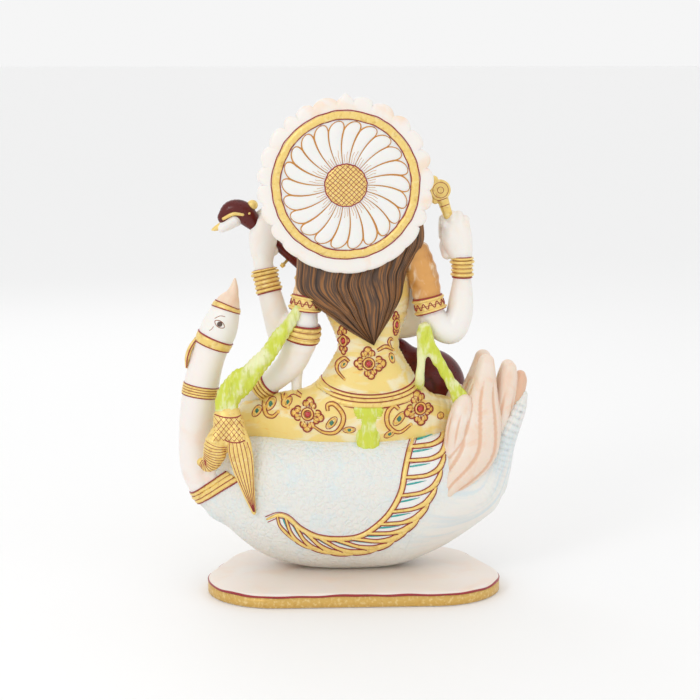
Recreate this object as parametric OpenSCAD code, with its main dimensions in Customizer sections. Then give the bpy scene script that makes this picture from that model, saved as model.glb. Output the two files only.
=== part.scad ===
// Four-armed seated goddess playing a long lute on the back of a swan.
// Front faces -Y, her right side is -X, the swan's head is at +X.
// Origin: middle of the plinth's underside.

/* [Plinth] */
// Widest width of the plinth
plinth_w = 178; // [170:1:186]
// Depth of the plinth, front to back
plinth_d = 108; // [102:1:116]
// Thickness of the plinth
plinth_h = 9; // [7:0.5:11]

/* [Halo] */
// Radius of the halo's scalloped rim
halo_r = 53; // [50:0.5:56]
// Thickness of the halo disc
halo_t = 5; // [4:0.5:5.5]
// Scallops round the rim
halo_scallops = 24; // [18:1:30]
// Petals of the lotus on the halo's back
halo_petals = 22; // [16:1:24]
// Height of the halo's centre
halo_z = 247; // [243:1:250]

/* [Swan] */
// Half the depth of the swan's body
body_depth = 37; // [34:0.5:40]
// How far the wings stand out of the body
wing_relief = 2.2; // [1.5:0.1:3]
// Radius of the swan's neck
neck_r = 10.8; // [9.5:0.1:12]

/* [Figure] */
// Height of the face from chin to crown of the skull
head_h = 36; // [33:0.5:38]
// Thickness of gold bands and bangles
band_t = 1.2; // [0.8:0.1:1.8]
// Radius of the steel dowels that pin the castings together
dowel_r = 2; // [1.5:0.1:2.5]

/* [Hidden] */

swan_y = -14;                       // middle plane of the swan
figure_y = -10;                     // middle plane of the figure's back
halo_x = 5;                         // the halo leans with the head
halo_front_y = 9;
halo_back_y = halo_front_y + halo_t;
head_c = [4, -12, 237];
band_gap = 0.05;                    // clearance between a limb and a band round it

marble = "ivory";
gold = "goldenrod";
wine = "maroon";
sari = "khaki";
leaf_green = "yellowgreen";
hair_brown = "saddlebrown";

// ---------------------------------------------------------------- helpers

function unit(v) = v / norm(v);
function xyz(s) = [s[0], s[1], s[2]];
function way(p, i) = unit(xyz(p[min(i + 1, len(p) - 1)]) - xyz(p[max(i - 1, 0)]));

// One ring of a swept limb: station [x, y, z, half width, half depth].
function ring(p, i, up, grow, sides) =
    let (t = way(p, i), u = unit(cross(t, up)), v = cross(t, u))
    [for (k = [0:sides - 1]) xyz(p[i])
        + u * (p[i][3] + grow) * cos(360 * k / sides)
        + v * (p[i][4] + grow) * sin(360 * k / sides)];

// Closed skin over rings of equal size, first to last.
module skin(rings, sides) {
    last = len(rings) - 1;
    points = [for (r = rings) for (q = r) q];
    caps = [[for (k = [0:sides - 1]) k], [for (k = [sides - 1:-1:0]) last * sides + k]];
    walls = [for (i = [0:last - 1]) for (k = [0:sides - 1])
        let (a = i * sides + k, b = i * sides + (k + 1) % sides)
        for (f = [[a, a + sides, b], [b, a + sides, b + sides]]) f];
    polyhedron(points = points, faces = concat(caps, walls));
}

// Sweeps an ellipse along stations from one index to another.
module sweep(p, from = 0, to = 99, up = [0, 1, 0], grow = 0, sides = 14)
    skin([for (i = [from:min(to, len(p) - 1)]) ring(p, i, up, grow, sides)], sides);

// Rounded blob: centre, three radii, turned about Y.
module egg(c, r, lean = 0, fn = 16)
    translate(c) rotate([0, lean, 0]) scale(r) sphere(1, $fn = fn);

// Makes one mesh of a carved solid and its cuts; a resize() of zeros keeps the size.
module carved() resize([0, 0, 0]) union() children();

// ---------------------------------------------------------------- plinth and dowels

module plinth_shape() {
    back_r = 42;
    front_r = 28;
    linear_extrude(plinth_h) hull() for (side = [-1, 1]) {
        translate([side * (plinth_w / 2 - back_r), plinth_d / 2 - back_r]) circle(back_r, $fn = 64);
        translate([side * 48, front_r - plinth_d / 2]) circle(front_r, $fn = 48);
    }
}

module plinth_dowels_shape()
    for (x = [-28, 28]) translate([x, swan_y, plinth_h - 5]) cylinder(r = dowel_r, h = 16, $fn = 32);

module figure_dowel_shape()
    translate([-10, figure_y, 82]) cylinder(r = dowel_r + 1, h = 60, $fn = 32);

module halo_dowel_shape()
    translate([halo_x, halo_front_y + halo_t / 2, halo_z]) rotate([90, 0, 0])
        cylinder(r = dowel_r, h = 12, $fn = 32);

module plinth() color(marble) difference() {
    plinth_shape();
    plinth_dowels_shape();
}

module plinth_dowels() color("silver") plinth_dowels_shape();
module figure_dowel() color("silver") figure_dowel_shape();
module halo_dowel() color("silver") halo_dowel_shape();

// ---------------------------------------------------------------- swan

// Stations of the body: x, underside, top, share of the full depth.
body_line = [[-90, 47, 82, 0.3], [-82, 39, 90, 0.5], [-70, 29, 95, 0.72], [-52, 18.5, 97, 0.9],
    [-28, 9.5, 97, 1], [0, 7.5, 97, 1.03], [28, 9, 96, 1], [52, 15.5, 94, 0.89],
    [68, 26, 90, 0.73], [80, 38, 84, 0.5], [88, 47, 78, 0.3]];

function full(c) = sign(c) * pow(abs(c), 0.88);
function body_ring(s, grow, sides) = [for (k = [0:sides - 1]) let (a = 360 * k / sides)
    [s[0], swan_y + (body_depth * s[3] + grow) * full(cos(a)),
        (s[1] + s[2]) / 2 + ((s[2] - s[1]) / 2 + grow) * full(sin(a))]];

module body_shape(grow = 0, sides = 28)
    skin([for (s = body_line) body_ring(s, grow, sides)], sides);

// Neck, head and beak share one path, so that they meet face to face.
neck_line = [[80, swan_y, 52, 13, 13], [89, swan_y, 62, 12.4, 13], [94.5, swan_y, 74, neck_r + 0.8, 12],
    [95.6, swan_y, 92, neck_r, neck_r], [94.3, swan_y, 110, neck_r, neck_r],
    [91.5, swan_y, 127, neck_r - 0.2, neck_r], [88, swan_y, 140, neck_r - 0.6, neck_r - 0.4],
    [84.6, swan_y, 149.5, neck_r - 0.2, neck_r], [81.4, swan_y, 157, neck_r + 0.4, neck_r + 0.6],
    [78.4, swan_y, 165, neck_r - 1.2, neck_r - 0.6], [75.8, swan_y, 172.5, 7.3, 7.4],
    [73.6, swan_y, 177, 4.6, 5], [72, swan_y, 182, 2.8, 3], [71.2, swan_y, 188, 0.5, 0.5]];
neck_top = 7;
beak_start = 10;

module swan_body() color(marble) carved() difference() {
    body_shape();
    translate([-150, -100, -10]) cube([300, 200, plinth_h + 10]);
    plinth_dowels_shape();
    figure_dowel_shape();
}

module swan_neck() color(marble) carved() difference() {
    sweep(neck_line, 0, neck_top);
    body_shape();
}

module swan_head() color(marble) sweep(neck_line, neck_top, beak_start);
module swan_beak() color("peachpuff") sweep(neck_line, beak_start, 99);

module swan_eyes() color("dimgray") carved() for (side = [-1, 1]) difference() {
    translate([79.5, swan_y + side * 10.4, 162]) scale([2, 1.2, 1.6]) sphere(1, $fn = 14);
    sweep(neck_line, neck_top, beak_start);
}

// Ring of a swept limb at any place along it, between two stations.
function ring_at(p, at, up, grow, sides) = let (
    i = min(floor(at), len(p) - 2), a = ring(p, i, up, grow, sides), b = ring(p, i + 1, up, grow, sides))
    a + (b - a) * (at - i);

// Hollow band that fits round a swept limb from one place along it to another.
module hoop(p, from, to, grow, up = [0, 1, 0], sides = 14) {
    stops = concat([from], [for (i = [floor(from) + 1:ceil(to) - 1]) i], [to]);
    n = len(stops);
    points = [for (i = [0:2 * n - 1]) for (q = i < n ? ring_at(p, stops[i], up, grow, sides)
        : ring_at(p, stops[2 * n - 1 - i], up, band_gap, sides)) q];
    polyhedron(points = points, faces = [for (i = [0:2 * n - 1]) for (k = [0:sides - 1])
        let (l = (k + 1) % sides, a = i * sides, c = (i + 1) % (2 * n) * sides)
        for (f = [[a + k, c + k, a + l], [a + l, c + k, c + l]]) f]);
}

module swan_neck_bands() color(gold) carved() {
    hoop(neck_line, 4.41, 4.69, band_t);
    hoop(neck_line, 6.74, 7.34, band_t);
    hoop(neck_line, 9.53, 9.97, band_t);
}

module swan_collar() color(gold) carved() difference() {
    translate([84, swan_y, 62]) rotate([0, 52, 0]) scale([1, 1.28, 1])
        cylinder(r = 15.5, h = 6, center = true, $fn = 32);
    sweep(neck_line, 0, 99);
    body_shape();
    brocade_shape();
}

// Wing plate: the part of a slightly larger body inside the wing's outline.
wing_outline = [[-58, 103], [-58, 78], [-53, 58], [-42, 38], [-24, 23], [2, 17], [28, 24], [54, 42],
    [66, 58], [62, 80], [52, 88], [0, 92], [-40, 96]];

module wing_block(side)
    translate([0, swan_y + side * 50, 0]) rotate([90, 0, 0])
        linear_extrude(70, center = true) polygon(wing_outline);

module wing_shape(side) difference() {
    intersection() {
        wing_block(side);
        body_shape(wing_relief);
    }
    body_shape();
}

module back_wing() color(marble) carved() difference() {
    wing_shape(1);
    skirt_shape();
    brocade_shape();
    scarf_back_shape();
    tail_sweep_shape();
    tail_plumes_shape();
    sweep(neck_line, 0, 4);
}

module front_wing() color(marble) carved() difference() {
    wing_shape(-1);
    skirt_shape();
    legs_shape();
    pleats_shape();
    tail_sweep_shape();
    tail_plumes_shape();
    bowl_shape();
    sweep(neck_line, 0, 4);
}

// Tail: a curved sweep of the body upward, and plumes standing in it.
tail_line = [[-50, swan_y, 60, 17, 27], [-66, swan_y, 55, 18, 27], [-78, swan_y, 58.5, 16, 25],
    [-86, swan_y, 70, 12.5, 21], [-92.5, swan_y, 87, 9.5, 17], [-102, swan_y, 106, 6, 12],
    [-106, swan_y, 115, 3, 7]];

module tail_sweep_shape() sweep(tail_line, sides = 20);

// Each plume: offset from the swan's middle plane, foot, tip, half width and half depth at its widest.
plumes = [[20, [-64, 66], [-68, 118], 9.5, 5], [11, [-72, 66], [-82, 141], 6.5, 5.5],
    [5, [-78, 70], [-96, 136], 6.5, 5]];
end_plume = [0, [-84, 74], [-105, 128], 6.5, 7];

function plume_line(f) = let (a = f[1], b = f[2], y = f[0])
    [for (s = [[0, 0.55], [0.3, 0.8], [0.6, 0.95], [0.85, 0.9], [0.96, 0.55], [1, 0.12]])
        [a[0] + (b[0] - a[0]) * s[0], swan_y + y * (0.8 + 0.2 * s[0]), a[1] + (b[1] - a[1]) * s[0],
            f[3] * s[1], f[4] * s[1]]];

module tail_plumes_shape() {
    for (f = plumes, side = [-1, 1])
        sweep([for (s = plume_line(f)) [s[0], swan_y + side * (s[1] - swan_y), s[2], s[3], s[4]]], sides = 12);
    sweep(plume_line(end_plume), sides = 12);
}

module tail_sweep() color("lightsteelblue") carved() difference() {
    tail_sweep_shape();
    body_shape();
}

module tail_plumes() color("peachpuff") carved() difference() {
    tail_plumes_shape();
    body_shape();
    tail_sweep_shape();
    skirt_shape();
    bowl_shape();
}

// ---------------------------------------------------------------- seated figure, below the waist

module skirt_shape() {
    hull() {
        egg([-10, figure_y, 119], [31, 21, 6], fn = 18);
        for (side = [-1, 1]) egg([side * 51, -20, 98], [13, 15, 11], fn = 16);
        egg([0, 12, 95], [34, 12, 7]);
    }
}

module skirt() color(sari) carved() difference() {
    skirt_shape();
    body_shape();
    torso_shape();
    legs_shape();
    figure_dowel_shape();
}

// Crossed shins, wrapped in the sari.
left_shin = [[56, -26, 101, 10, 11], [38, -41, 102, 10.5, 11], [16, -48, 101, 9, 9.5], [-6, -51, 99, 6.5, 7]];
right_shin = [[-56, -26, 101, 10, 11], [-40, -36, 101, 10, 10], [-22, -43, 97, 8, 8.5]];

module legs_shape() {
    sweep(left_shin, up = [0, 0, 1]);
    sweep(right_shin, up = [0, 0, 1]);
    for (side = [-1, 1]) egg([side * 55.2, -25.3, 100.2], [9.4, 12.2, 10.2], fn = 18);
}

module folded_legs() color(sari) carved() difference() {
    legs_shape();
    body_shape();
}

module pleats_shape()
    hull() {
        egg([-2, -52, 94], [10, 3, 6], fn = 16);
        egg([-4, -56, 62], [17, 2.6, 5], fn = 16);
    }

module skirt_pleats() color(sari) carved() difference() {
    pleats_shape();
    body_shape();
    legs_shape();
    skirt_shape();
    feet_shape();
}

left_foot = [[-10, -53, 97.5, 4.6, 5], [-19, -56, 94, 4.4, 4.4], [-27, -57, 90, 4.6, 3], [-31, -57, 88.5, 2, 1.6]];
right_foot = [[22, -54, 90, 4.6, 4.4], [30, -54, 85, 4.6, 3.4], [37, -51, 82, 3, 1.8]];

module feet_shape() {
    sweep(left_foot, sides = 12);
    sweep(right_foot, sides = 12);
}

module feet() color(marble) carved() difference() {
    feet_shape();
    legs_shape();
    body_shape(wing_relief);
    bowl_shape();
}

// ---------------------------------------------------------------- torso and head

torso_line = [[-10, figure_y, 116, 33.5, 20], [-10, figure_y, 123, 31.2, 18.8], [-10, figure_y, 132, 26, 16.4],
    [-10, figure_y, 141.5, 20.8, 14], [-10, figure_y, 150, 18.7, 13.3], [-9.5, figure_y - 1, 158, 21, 14.5], [-9, figure_y - 3, 172, 26, 17],
    [-7, figure_y - 2, 186, 29, 15.5], [-5, figure_y, 198, 31, 12.5], [-3, figure_y, 206, 23, 10.5],
    [0, figure_y, 212, 11, 9]];

module torso_shape() sweep(torso_line, up = [0, 1, 0], sides = 20);

module torso() color(sari) carved() difference() {
    torso_shape();
    body_shape();
    figure_dowel_shape();
}

// The belt dips at the back; its middle and its tilt follow the hips.
module belt_block(grow)
    translate([-10, figure_y, 121.5]) rotate([-15, 0, 0]) scale([32.4 + grow, 20.8 + grow, 1])
        cylinder(r = 1, h = 8, center = true, $fn = 40);

module belt() color(gold) carved() difference() {
    belt_block(2);
    torso_shape();
    skirt_shape();
    scarf_back_shape();
}

module bust_necklace() color(gold) carved() difference() {
    translate([-4, figure_y - 12, 194]) rotate([62, 0, 0])
        rotate_extrude($fn = 24) translate([16, 0]) circle(1.9, $fn = 8);
    torso_shape();
    neck_shape();
    translate([-60, figure_y - 5.3, 150]) cube([120, 60, 80]);
}

neck_post = [[0, figure_y, 208, 8.2, 8], [1.5, figure_y - 1, 215, 7.4, 7.4], [3, figure_y - 1.5, 226, 8, 8]];
module neck_shape() sweep(neck_post);

module neck() color(marble) carved() difference() {
    neck_shape();
    torso_shape();
    head_shape();
}

module head_shape() hull() {
    egg(head_c + [0, 2, head_h * 0.14], [13, 14.5, head_h * 0.36], fn = 18);
    egg(head_c - [0, 5, head_h * 0.18], [9.5, 9, head_h * 0.32], fn = 20);
}

module head() color(marble) carved() difference() {
    head_shape();
    halo_dowel_shape();
}

module earrings() color(gold) carved() for (side = [-1, 1]) difference() {
    egg(head_c + [side * 14.2, 0, -10], [2.2, 2.6, 5], fn = 12);
    head_shape();
    hair_shape();
}

module crown_shape() translate(head_c + [0, -1, head_h * 0.26]) rotate_extrude($fn = 28)
    polygon([[0, 0], [15.2, 0], [15.6, 4], [12.4, 12], [13.2, 15], [8.4, 23], [8.8, 27], [3.6, 35], [0, 42]]);

module crown() color(gold) carved() difference() {
    crown_shape();
    head_shape();
    halo_plate();
    halo_dowel_shape();
}

module hair_shape() {
    egg(head_c + [0, 5, 0], [15.5, 15.5, 20], fn = 18);
    hull() {
        egg([3, 1, 226], [17, 8, 12]);
        egg([-4, -3, 200], [38, 9, 13], fn = 18);
    }
    hull() {
        egg([-4, -2, 200], [37, 9, 9], fn = 18);
        egg([-6, 2, 182], [30, 8, 6], fn = 18);
    }
    hull() {
        egg([-6, 2, 182], [27, 8, 6], fn = 18);
        egg([-12.5, 4, 153], [2.5, 3.5, 3.5], fn = 16);
    }
}

module hair() color(hair_brown) carved() difference() {
    hair_shape();
    head_shape();
    crown_shape();
    neck_shape();
    torso_shape();
    sleeves_shape();
    left_lowered_shape();
    right_lowered_shape();
    halo_plate();
    halo_dowel_shape();
    translate([-60, head_c[1] - 30, 205]) cube([120, 26, 80]);
}

// ---------------------------------------------------------------- halo

// Rim radius: shallow scallops that fade out under the ring, and a small point at the top.
function rim(a) = let (s = abs(cos(a * halo_scallops / 2)), fade = a > 215 && a < 325 ? 0.25 : 1)
    halo_r - 3.4 * fade * pow(1 - s, 1.6) + (abs(a - 90) < 3 ? 1.5 : 0);

module halo_plate() translate([halo_x, halo_back_y, halo_z]) rotate([90, 0, 0])
    linear_extrude(halo_t) polygon([for (a = [0:2.5:357.5]) rim(a) * [cos(a), sin(a)]]);

module halo_face(h) translate([halo_x, halo_back_y, halo_z]) rotate([-90, 0, 0]) children();

module halo_disc() color(marble) difference() {
    halo_plate();
    halo_dowel_shape();
}

module halo_ring() color(gold) halo_face() rotate_extrude($fn = 96)
    translate([halo_r * 0.735, 0]) square([halo_r * 0.088, 1.8]);

module halo_lotus() color("white") halo_face() linear_extrude(1.6) for (i = [0:halo_petals - 1])
    rotate(i * 360 / halo_petals) hull() {
        translate([halo_r * 0.27, 0]) circle(halo_r * 0.035, $fn = 6);
        translate([halo_r * 0.63, 0]) circle(halo_r * 0.088, $fn = 12);
    }

module halo_boss() color(gold) halo_face() cylinder(r = halo_r * 0.235, h = 2.2, $fn = 64);

// ---------------------------------------------------------------- arms

right_raised = [[-38, -9, 203, 10, 10.5], [-43, -8, 190, 10, 10.5], [-46, -7, 174, 9.4, 10],
    [-50, -6, 162, 9, 9.5], [-60, -6, 157, 8.6, 9], [-65, -7, 165, 8.2, 8.6], [-66.5, -8, 176, 7, 7.4],
    [-67, -8, 190, 6, 6.4]];
right_hand = [[-67, -8, 190, 6, 6.4], [-65.5, -9, 198, 7.6, 6.8], [-64, -10, 210, 9, 7.4],
    [-63, -10, 220, 8.2, 7], [-62, -10, 227, 5, 5]];
left_lowered = [[26, -9, 203, 9.5, 10.5], [28, -7, 190, 10.2, 10.8], [29, -5, 174, 10, 10.4],
    [31, -6, 156, 9.8, 10], [36, -10, 139, 9, 9.4], [45, -15, 128, 7.6, 8], [57, -21, 117, 6.2, 6.4]];
left_lap_hand = [[57, -21, 117, 6.2, 6.4], [61, -24, 111, 7.4, 5.4], [64, -27, 106, 6.8, 4], [66, -30, 102, 4, 2.6]];
left_raised = [[36, -21, 158, 8.6, 8.6], [42, -24, 152, 8.4, 8.6], [46, -27, 163, 7.8, 8], [50, -30, 178, 6.8, 7],
    [53.5, -32, 193, 6.4, 6.6]];
left_hand = [[53.5, -32, 193, 6.4, 6.6], [54, -33, 201, 8, 6.6], [53.5, -34, 210, 8.6, 6.8], [52, -34, 219, 7.4, 6],
    [50.5, -34, 225, 4, 4]];
right_lowered = [[-33, -16, 197, 9.5, 9.5], [-38, -21, 182, 9.2, 9.2], [-43, -28, 166, 8.6, 8.6],
    [-40, -36, 157, 8, 8], [-31, -42, 153, 6.8, 6.8], [-23, -46, 151, 5.8, 5.8]];
right_play_hand = [[-23, -46, 151, 5.8, 5.8], [-17, -49, 150, 6.4, 5.2], [-10, -52, 148, 6, 4.4], [-5, -53, 146, 3, 2.6]];
sleeve_end = 2;                     // station where the sleeves stop

module left_lowered_shape() sweep(left_lowered);
module right_lowered_shape() sweep(right_lowered);
module left_raised_shape() sweep(left_raised, up = [1, 0, 0]);

module sleeves_shape() {
    sweep(right_raised, 0, sleeve_end, grow = 1.2);
    sweep(left_lowered, 0, sleeve_end, grow = 1.2);
}

module sleeves() color("sandybrown") carved() difference() {
    sleeves_shape();
    torso_shape();
    right_lowered_shape();
    left_raised_shape();
}

module sleeve_cuffs() color(gold) carved() difference() {
    union() {
        hoop(right_raised, sleeve_end, sleeve_end + 0.42, 2.2);
        hoop(left_lowered, sleeve_end, sleeve_end + 0.3, 2.2);
    }
    torso_shape();
    right_lowered_shape();
}

module right_raised_arm() color(marble) carved() difference() {
    sweep(right_raised, sleeve_end, 99);
    torso_shape();
    right_lowered_shape();
}

module right_raised_hand() color(marble) carved() difference() {
    sweep(right_hand);
    goad_shape();
}

module goad_shape() {
    sweep([[-66, -10, 205, 2.6, 2.6], [-53.5, -10, 241, 2.6, 2.6]], sides = 12);
    translate([-53.5, -7.5, 242]) rotate([90, 0, 0]) cylinder(r = 5.4, h = 5, $fn = 28);
    hull() {
        translate([-50, -9, 243]) rotate([90, 0, 0]) cylinder(r = 1, h = 2.4, $fn = 14);
        translate([-46.5, -9, 233]) rotate([90, 0, 0]) cylinder(r = 0.6, h = 2.4, $fn = 14);
        translate([-51.5, -9, 237]) rotate([90, 0, 0]) cylinder(r = 1, h = 2.4, $fn = 14);
    }
    egg([-50, -10, 248.4], [2, 2, 2.4], fn = 14);
}

module goad() color(gold) carved() difference() {
    goad_shape();
    halo_plate();
}

module left_raised_forearm() color(marble) carved() difference() {
    left_raised_shape();
    left_lowered_shape();
    torso_shape();
}

module left_raised_hand() color(marble) carved() difference() {
    sweep(left_hand, up = [1, 0, 0]);
    veena_neck_shape();
    halo_plate();
}

module left_lowered_arm() color(marble) carved() difference() {
    sweep(left_lowered, sleeve_end, 99);
    torso_shape();
    skirt_shape();
}

module left_lowered_hand() color(marble) carved() difference() {
    sweep(left_lap_hand);
    skirt_shape();
    legs_shape();
}

module right_lowered_arm() color(marble) carved() difference() {
    right_lowered_shape();
    torso_shape();
}

module right_lowered_hand() color(marble) carved() difference() {
    sweep(right_play_hand);
    veena_neck_shape();
    strings_shape();
}

module armlet() color(gold) carved() difference() {
    hoop(left_lowered, 2.76, 3.24, band_t);
    left_raised_shape();
}

module bangles() color(gold) carved() {
    hoop(right_raised, 6.1, 6.64, band_t);
    hoop(right_raised, 6.73, 6.97, band_t + 0.8);
    hoop(left_raised, 3.03, 3.97, band_t, up = [1, 0, 0]);
    hoop(left_lowered, 5.58, 5.92, band_t);
    hoop(right_lowered, 4.28, 4.93, band_t);
}

// Short post left under the elbow, which carries the thin arm.
module arm_strut() color(marble) carved() difference() {
    sweep([[34, -14, 108, 4.4, 3.6], [34, -13, 122, 3.4, 3], [35, -12, 134, 5, 4]], sides = 12);
    sweep(left_lowered);
    skirt_shape();
    legs_shape();
}

// ---------------------------------------------------------------- long lute

veena_top = [58, -34, 218];         // where the carved head starts
veena_foot = [-30, -50, 138];       // where the neck meets the bowl
veena_dir = unit(veena_foot - veena_top);
bowl_c = [-50, -50, 114];

module veena_neck_shape() sweep([concat(veena_top, [2.6, 2.6]), concat(veena_foot, [3.6, 3.4])], sides = 14);

module bowl_shape() difference() {
    hull() {
        egg(bowl_c + [0, 3, 0], [24, 17, 25], fn = 18);
        egg(veena_foot + [0, 3, 0], [7, 5, 7], fn = 16);
    }
    translate([-120, -160, 60]) cube([120, 160 + bowl_c[1] - 6, 120]);
}

module veena_neck() color(wine) carved() difference() {
    veena_neck_shape();
    bowl_shape();
}

module veena_bowl() color(wine) carved() difference() {
    bowl_shape();
    body_shape();
    skirt_shape();
    legs_shape();
}

module veena_soundboard() color("wheat") carved() intersection() {
    translate([0, -1.4, 0]) linear_hull_board();
    translate([-120, bowl_c[1] - 7.4, 60]) cube([120, 1.4, 120]);
}

module linear_hull_board() hull() {
    egg(bowl_c, [23, 14, 24], fn = 18);
    egg(veena_foot, [6, 8, 6], fn = 16);
}

module veena_head() color(wine) carved() difference() {
    union() {
        sweep([concat(veena_top - veena_dir * 0, [3.4, 3.4]), [63, -34, 224, 5.4, 4.6],
            [69, -34, 228, 6, 5], [75, -34, 228, 5.4, 4.8], [79, -34, 223, 3.6, 3.6], [82.5, -34, 218.5, 1.4, 1.6]],
            sides = 14);
        egg([59.5, -34, 230], [3.4, 3, 3.2], fn = 14);
    }
    sweep(left_hand, up = [1, 0, 0]);
}

module strings_shape() for (k = [-1.5:1:1.5]) {
    a = veena_top + [0, -4.4, 0] + [0, 0, k * 1.1];
    b = bowl_c + [0, -9.6, 4] + [0, 0, k * 1.6];
    sweep([concat(a, [0.3, 0.3]), concat(b, [0.3, 0.3])], sides = 6);
}

module veena_strings() color("silver") carved() difference() {
    strings_shape();
    veena_neck_shape();
    bowl_shape();
}

module veena_pegs() color(gold) carved() difference() {
    for (s = [0.1, 0.2, 0.3], side = [-1, 1])
        translate(veena_top + (veena_foot - veena_top) * s) rotate([0, 47, 0])
            translate([side * 5, 0, 0]) rotate([0, 90, 0]) cylinder(r = 1, h = 6, center = true, $fn = 14);
    veena_neck_shape();
    sweep(left_hand, up = [1, 0, 0]);
}

// ---------------------------------------------------------------- scarf

scarf_left_line = [[36, 3, 168, 3, 3.4], [43, 5, 158, 4.4, 4], [52, 6, 145, 5, 4.4], [61, 6, 134, 6.6, 4.6],
    [70, 5, 126, 8, 5], [76.2, 4.8, 116, 7, 4.6], [77, 5.8, 105, 6.8, 4.4]];
module scarf_left_shape() sweep(scarf_left_line);

module brocade_shape() {
    sweep([[76.4, 5.6, 108, 8, 5.2], [75.5, 7.8, 102, 9, 6], [74.2, 10, 94.3, 8.6, 5.4]], sides = 15);
    sweep([[79.6, 9.3, 100, 4.6, 4.2], [82, 11.3, 92, 6, 5], [84, 11.7, 84, 5.6, 4.6], [88, 10.4, 78.5, 3.6, 3.6]],
        sides = 13);
    sweep([[70.6, 9.4, 101, 5, 4], [69, 14, 89, 6.2, 4.6], [66.5, 16.6, 76, 5, 4], [60.4, 18.6, 51, 1.4, 2]], sides = 13);
}

module scarf_left() color(leaf_green) carved() difference() {
    scarf_left_shape();
    sweep(left_lowered, 1, 4, grow = 2.4);
}

module scarf_brocade() color(gold) carved() difference() {
    brocade_shape();
    body_shape();
    sweep(neck_line, 0, 99);
    scarf_left_shape();
    skirt_shape();
}

right_strip = [[-43, 4, 158, 4, 3], [-41.5, 5, 140, 2.6, 2.4], [-40, 4, 120, 2.8, 2.4], [-39, 2, 106, 3, 3]];
right_fall = [[-42.8, 4.4, 152, 1.9, 1.5], [-49, 5, 143, 3, 2.6], [-58, 4, 128, 3.2, 2.6], [-67, 2, 113, 5, 3],
    [-69, 0, 105, 4, 3.4]];

module scarf_right_shape() {
    sweep(right_strip, sides = 12);
    sweep(right_fall, sides = 12);
}

module scarf_right() color(leaf_green) carved() difference() {
    scarf_right_shape();
    sweep(right_raised);
    right_lowered_shape();
    torso_shape();
    skirt_shape();
    body_shape();
    tail_plumes_shape();
    bowl_shape();
    belt_block(2);
}

module scarf_back_shape() hull() {
    egg([-8, 11, 112], [11, 3, 4], fn = 16);
    egg([-9, 22.5, 90], [7.4, 3, 3], fn = 16);
}

module scarf_back() color(leaf_green) carved() difference() {
    scarf_back_shape();
    skirt_shape();
    body_shape();
    torso_shape();
}

// ---------------------------------------------------------------- nodes

plinth();
plinth_dowels();
swan_body();
swan_neck();
swan_head();
swan_beak();
swan_eyes();
swan_neck_bands();
swan_collar();
back_wing();
front_wing();
tail_sweep();
tail_plumes();
skirt();
folded_legs();
skirt_pleats();
feet();
belt();
torso();
figure_dowel();
bust_necklace();
neck();
head();
earrings();
crown();
hair();
halo_disc();
halo_ring();
halo_lotus();
halo_boss();
halo_dowel();
sleeves();
sleeve_cuffs();
right_raised_arm();
right_raised_hand();
goad();
left_raised_forearm();
left_raised_hand();
left_lowered_arm();
left_lowered_hand();
right_lowered_arm();
right_lowered_hand();
armlet();
bangles();
arm_strut();
veena_neck();
veena_head();
veena_bowl();
veena_soundboard();
veena_strings();
veena_pegs();
scarf_left();
scarf_brocade();
scarf_right();
scarf_back();
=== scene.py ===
"""Painted marble goddess seated on a swan, before a round scalloped halo.

Shapes are worked out in millimetres in the row frame and become metres in mesh_piece().
"""
import math

import bpy
import numpy as np
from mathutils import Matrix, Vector
from mathutils.bvhtree import BVHTree


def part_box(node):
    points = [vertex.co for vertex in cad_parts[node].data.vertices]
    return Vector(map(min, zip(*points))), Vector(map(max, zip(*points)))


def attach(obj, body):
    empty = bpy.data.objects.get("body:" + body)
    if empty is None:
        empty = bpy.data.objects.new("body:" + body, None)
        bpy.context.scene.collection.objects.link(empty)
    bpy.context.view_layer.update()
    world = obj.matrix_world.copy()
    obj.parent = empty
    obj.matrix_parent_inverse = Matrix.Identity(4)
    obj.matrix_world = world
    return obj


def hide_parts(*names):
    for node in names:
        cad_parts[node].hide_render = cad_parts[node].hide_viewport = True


MM = 0.001
COARSE = 1.0

# ---------------------------------------------------------------- the frame

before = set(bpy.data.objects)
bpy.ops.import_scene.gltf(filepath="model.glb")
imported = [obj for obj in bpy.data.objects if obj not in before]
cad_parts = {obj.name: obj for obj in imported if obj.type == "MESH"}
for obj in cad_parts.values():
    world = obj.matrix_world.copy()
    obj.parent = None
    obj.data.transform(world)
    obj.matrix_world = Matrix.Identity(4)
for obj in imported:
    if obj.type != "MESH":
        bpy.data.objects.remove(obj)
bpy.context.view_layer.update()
NODES = set(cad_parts)


def node_box(node):
    """A CAD node's corners in millimetres."""
    low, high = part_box(node)
    return np.array(low) / MM, np.array(high) / MM


def node_middle(node):
    low, high = node_box(node)
    return (low + high) / 2


# ---------------------------------------------------------------- distance fields

def turns(count):
    """Evenly spaced angles, once round."""
    return np.linspace(0, 2 * math.pi, count, endpoint=False)


def smooth_min(a, b, k):
    h = np.clip(0.5 + 0.5 * (b - a) / k, 0, 1)
    return b * (1 - h) + a * h - k * h * (1 - h)


def egg(p, centre, radii, lean=0.0):
    """Ellipsoid, leaned about Y by so many degrees."""
    q = p - np.array(centre, float)
    if lean:
        c, s = math.cos(math.radians(lean)), math.sin(math.radians(lean))
        q = np.stack([q[:, 0] * c - q[:, 2] * s, q[:, 1], q[:, 0] * s + q[:, 2] * c], 1)
    r = np.array(radii, float)
    k0 = np.linalg.norm(q / r, axis=1)
    k1 = np.linalg.norm(q / (r * r), axis=1)
    return k0 * (k0 - 1) / np.maximum(k1, 1e-9)


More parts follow.
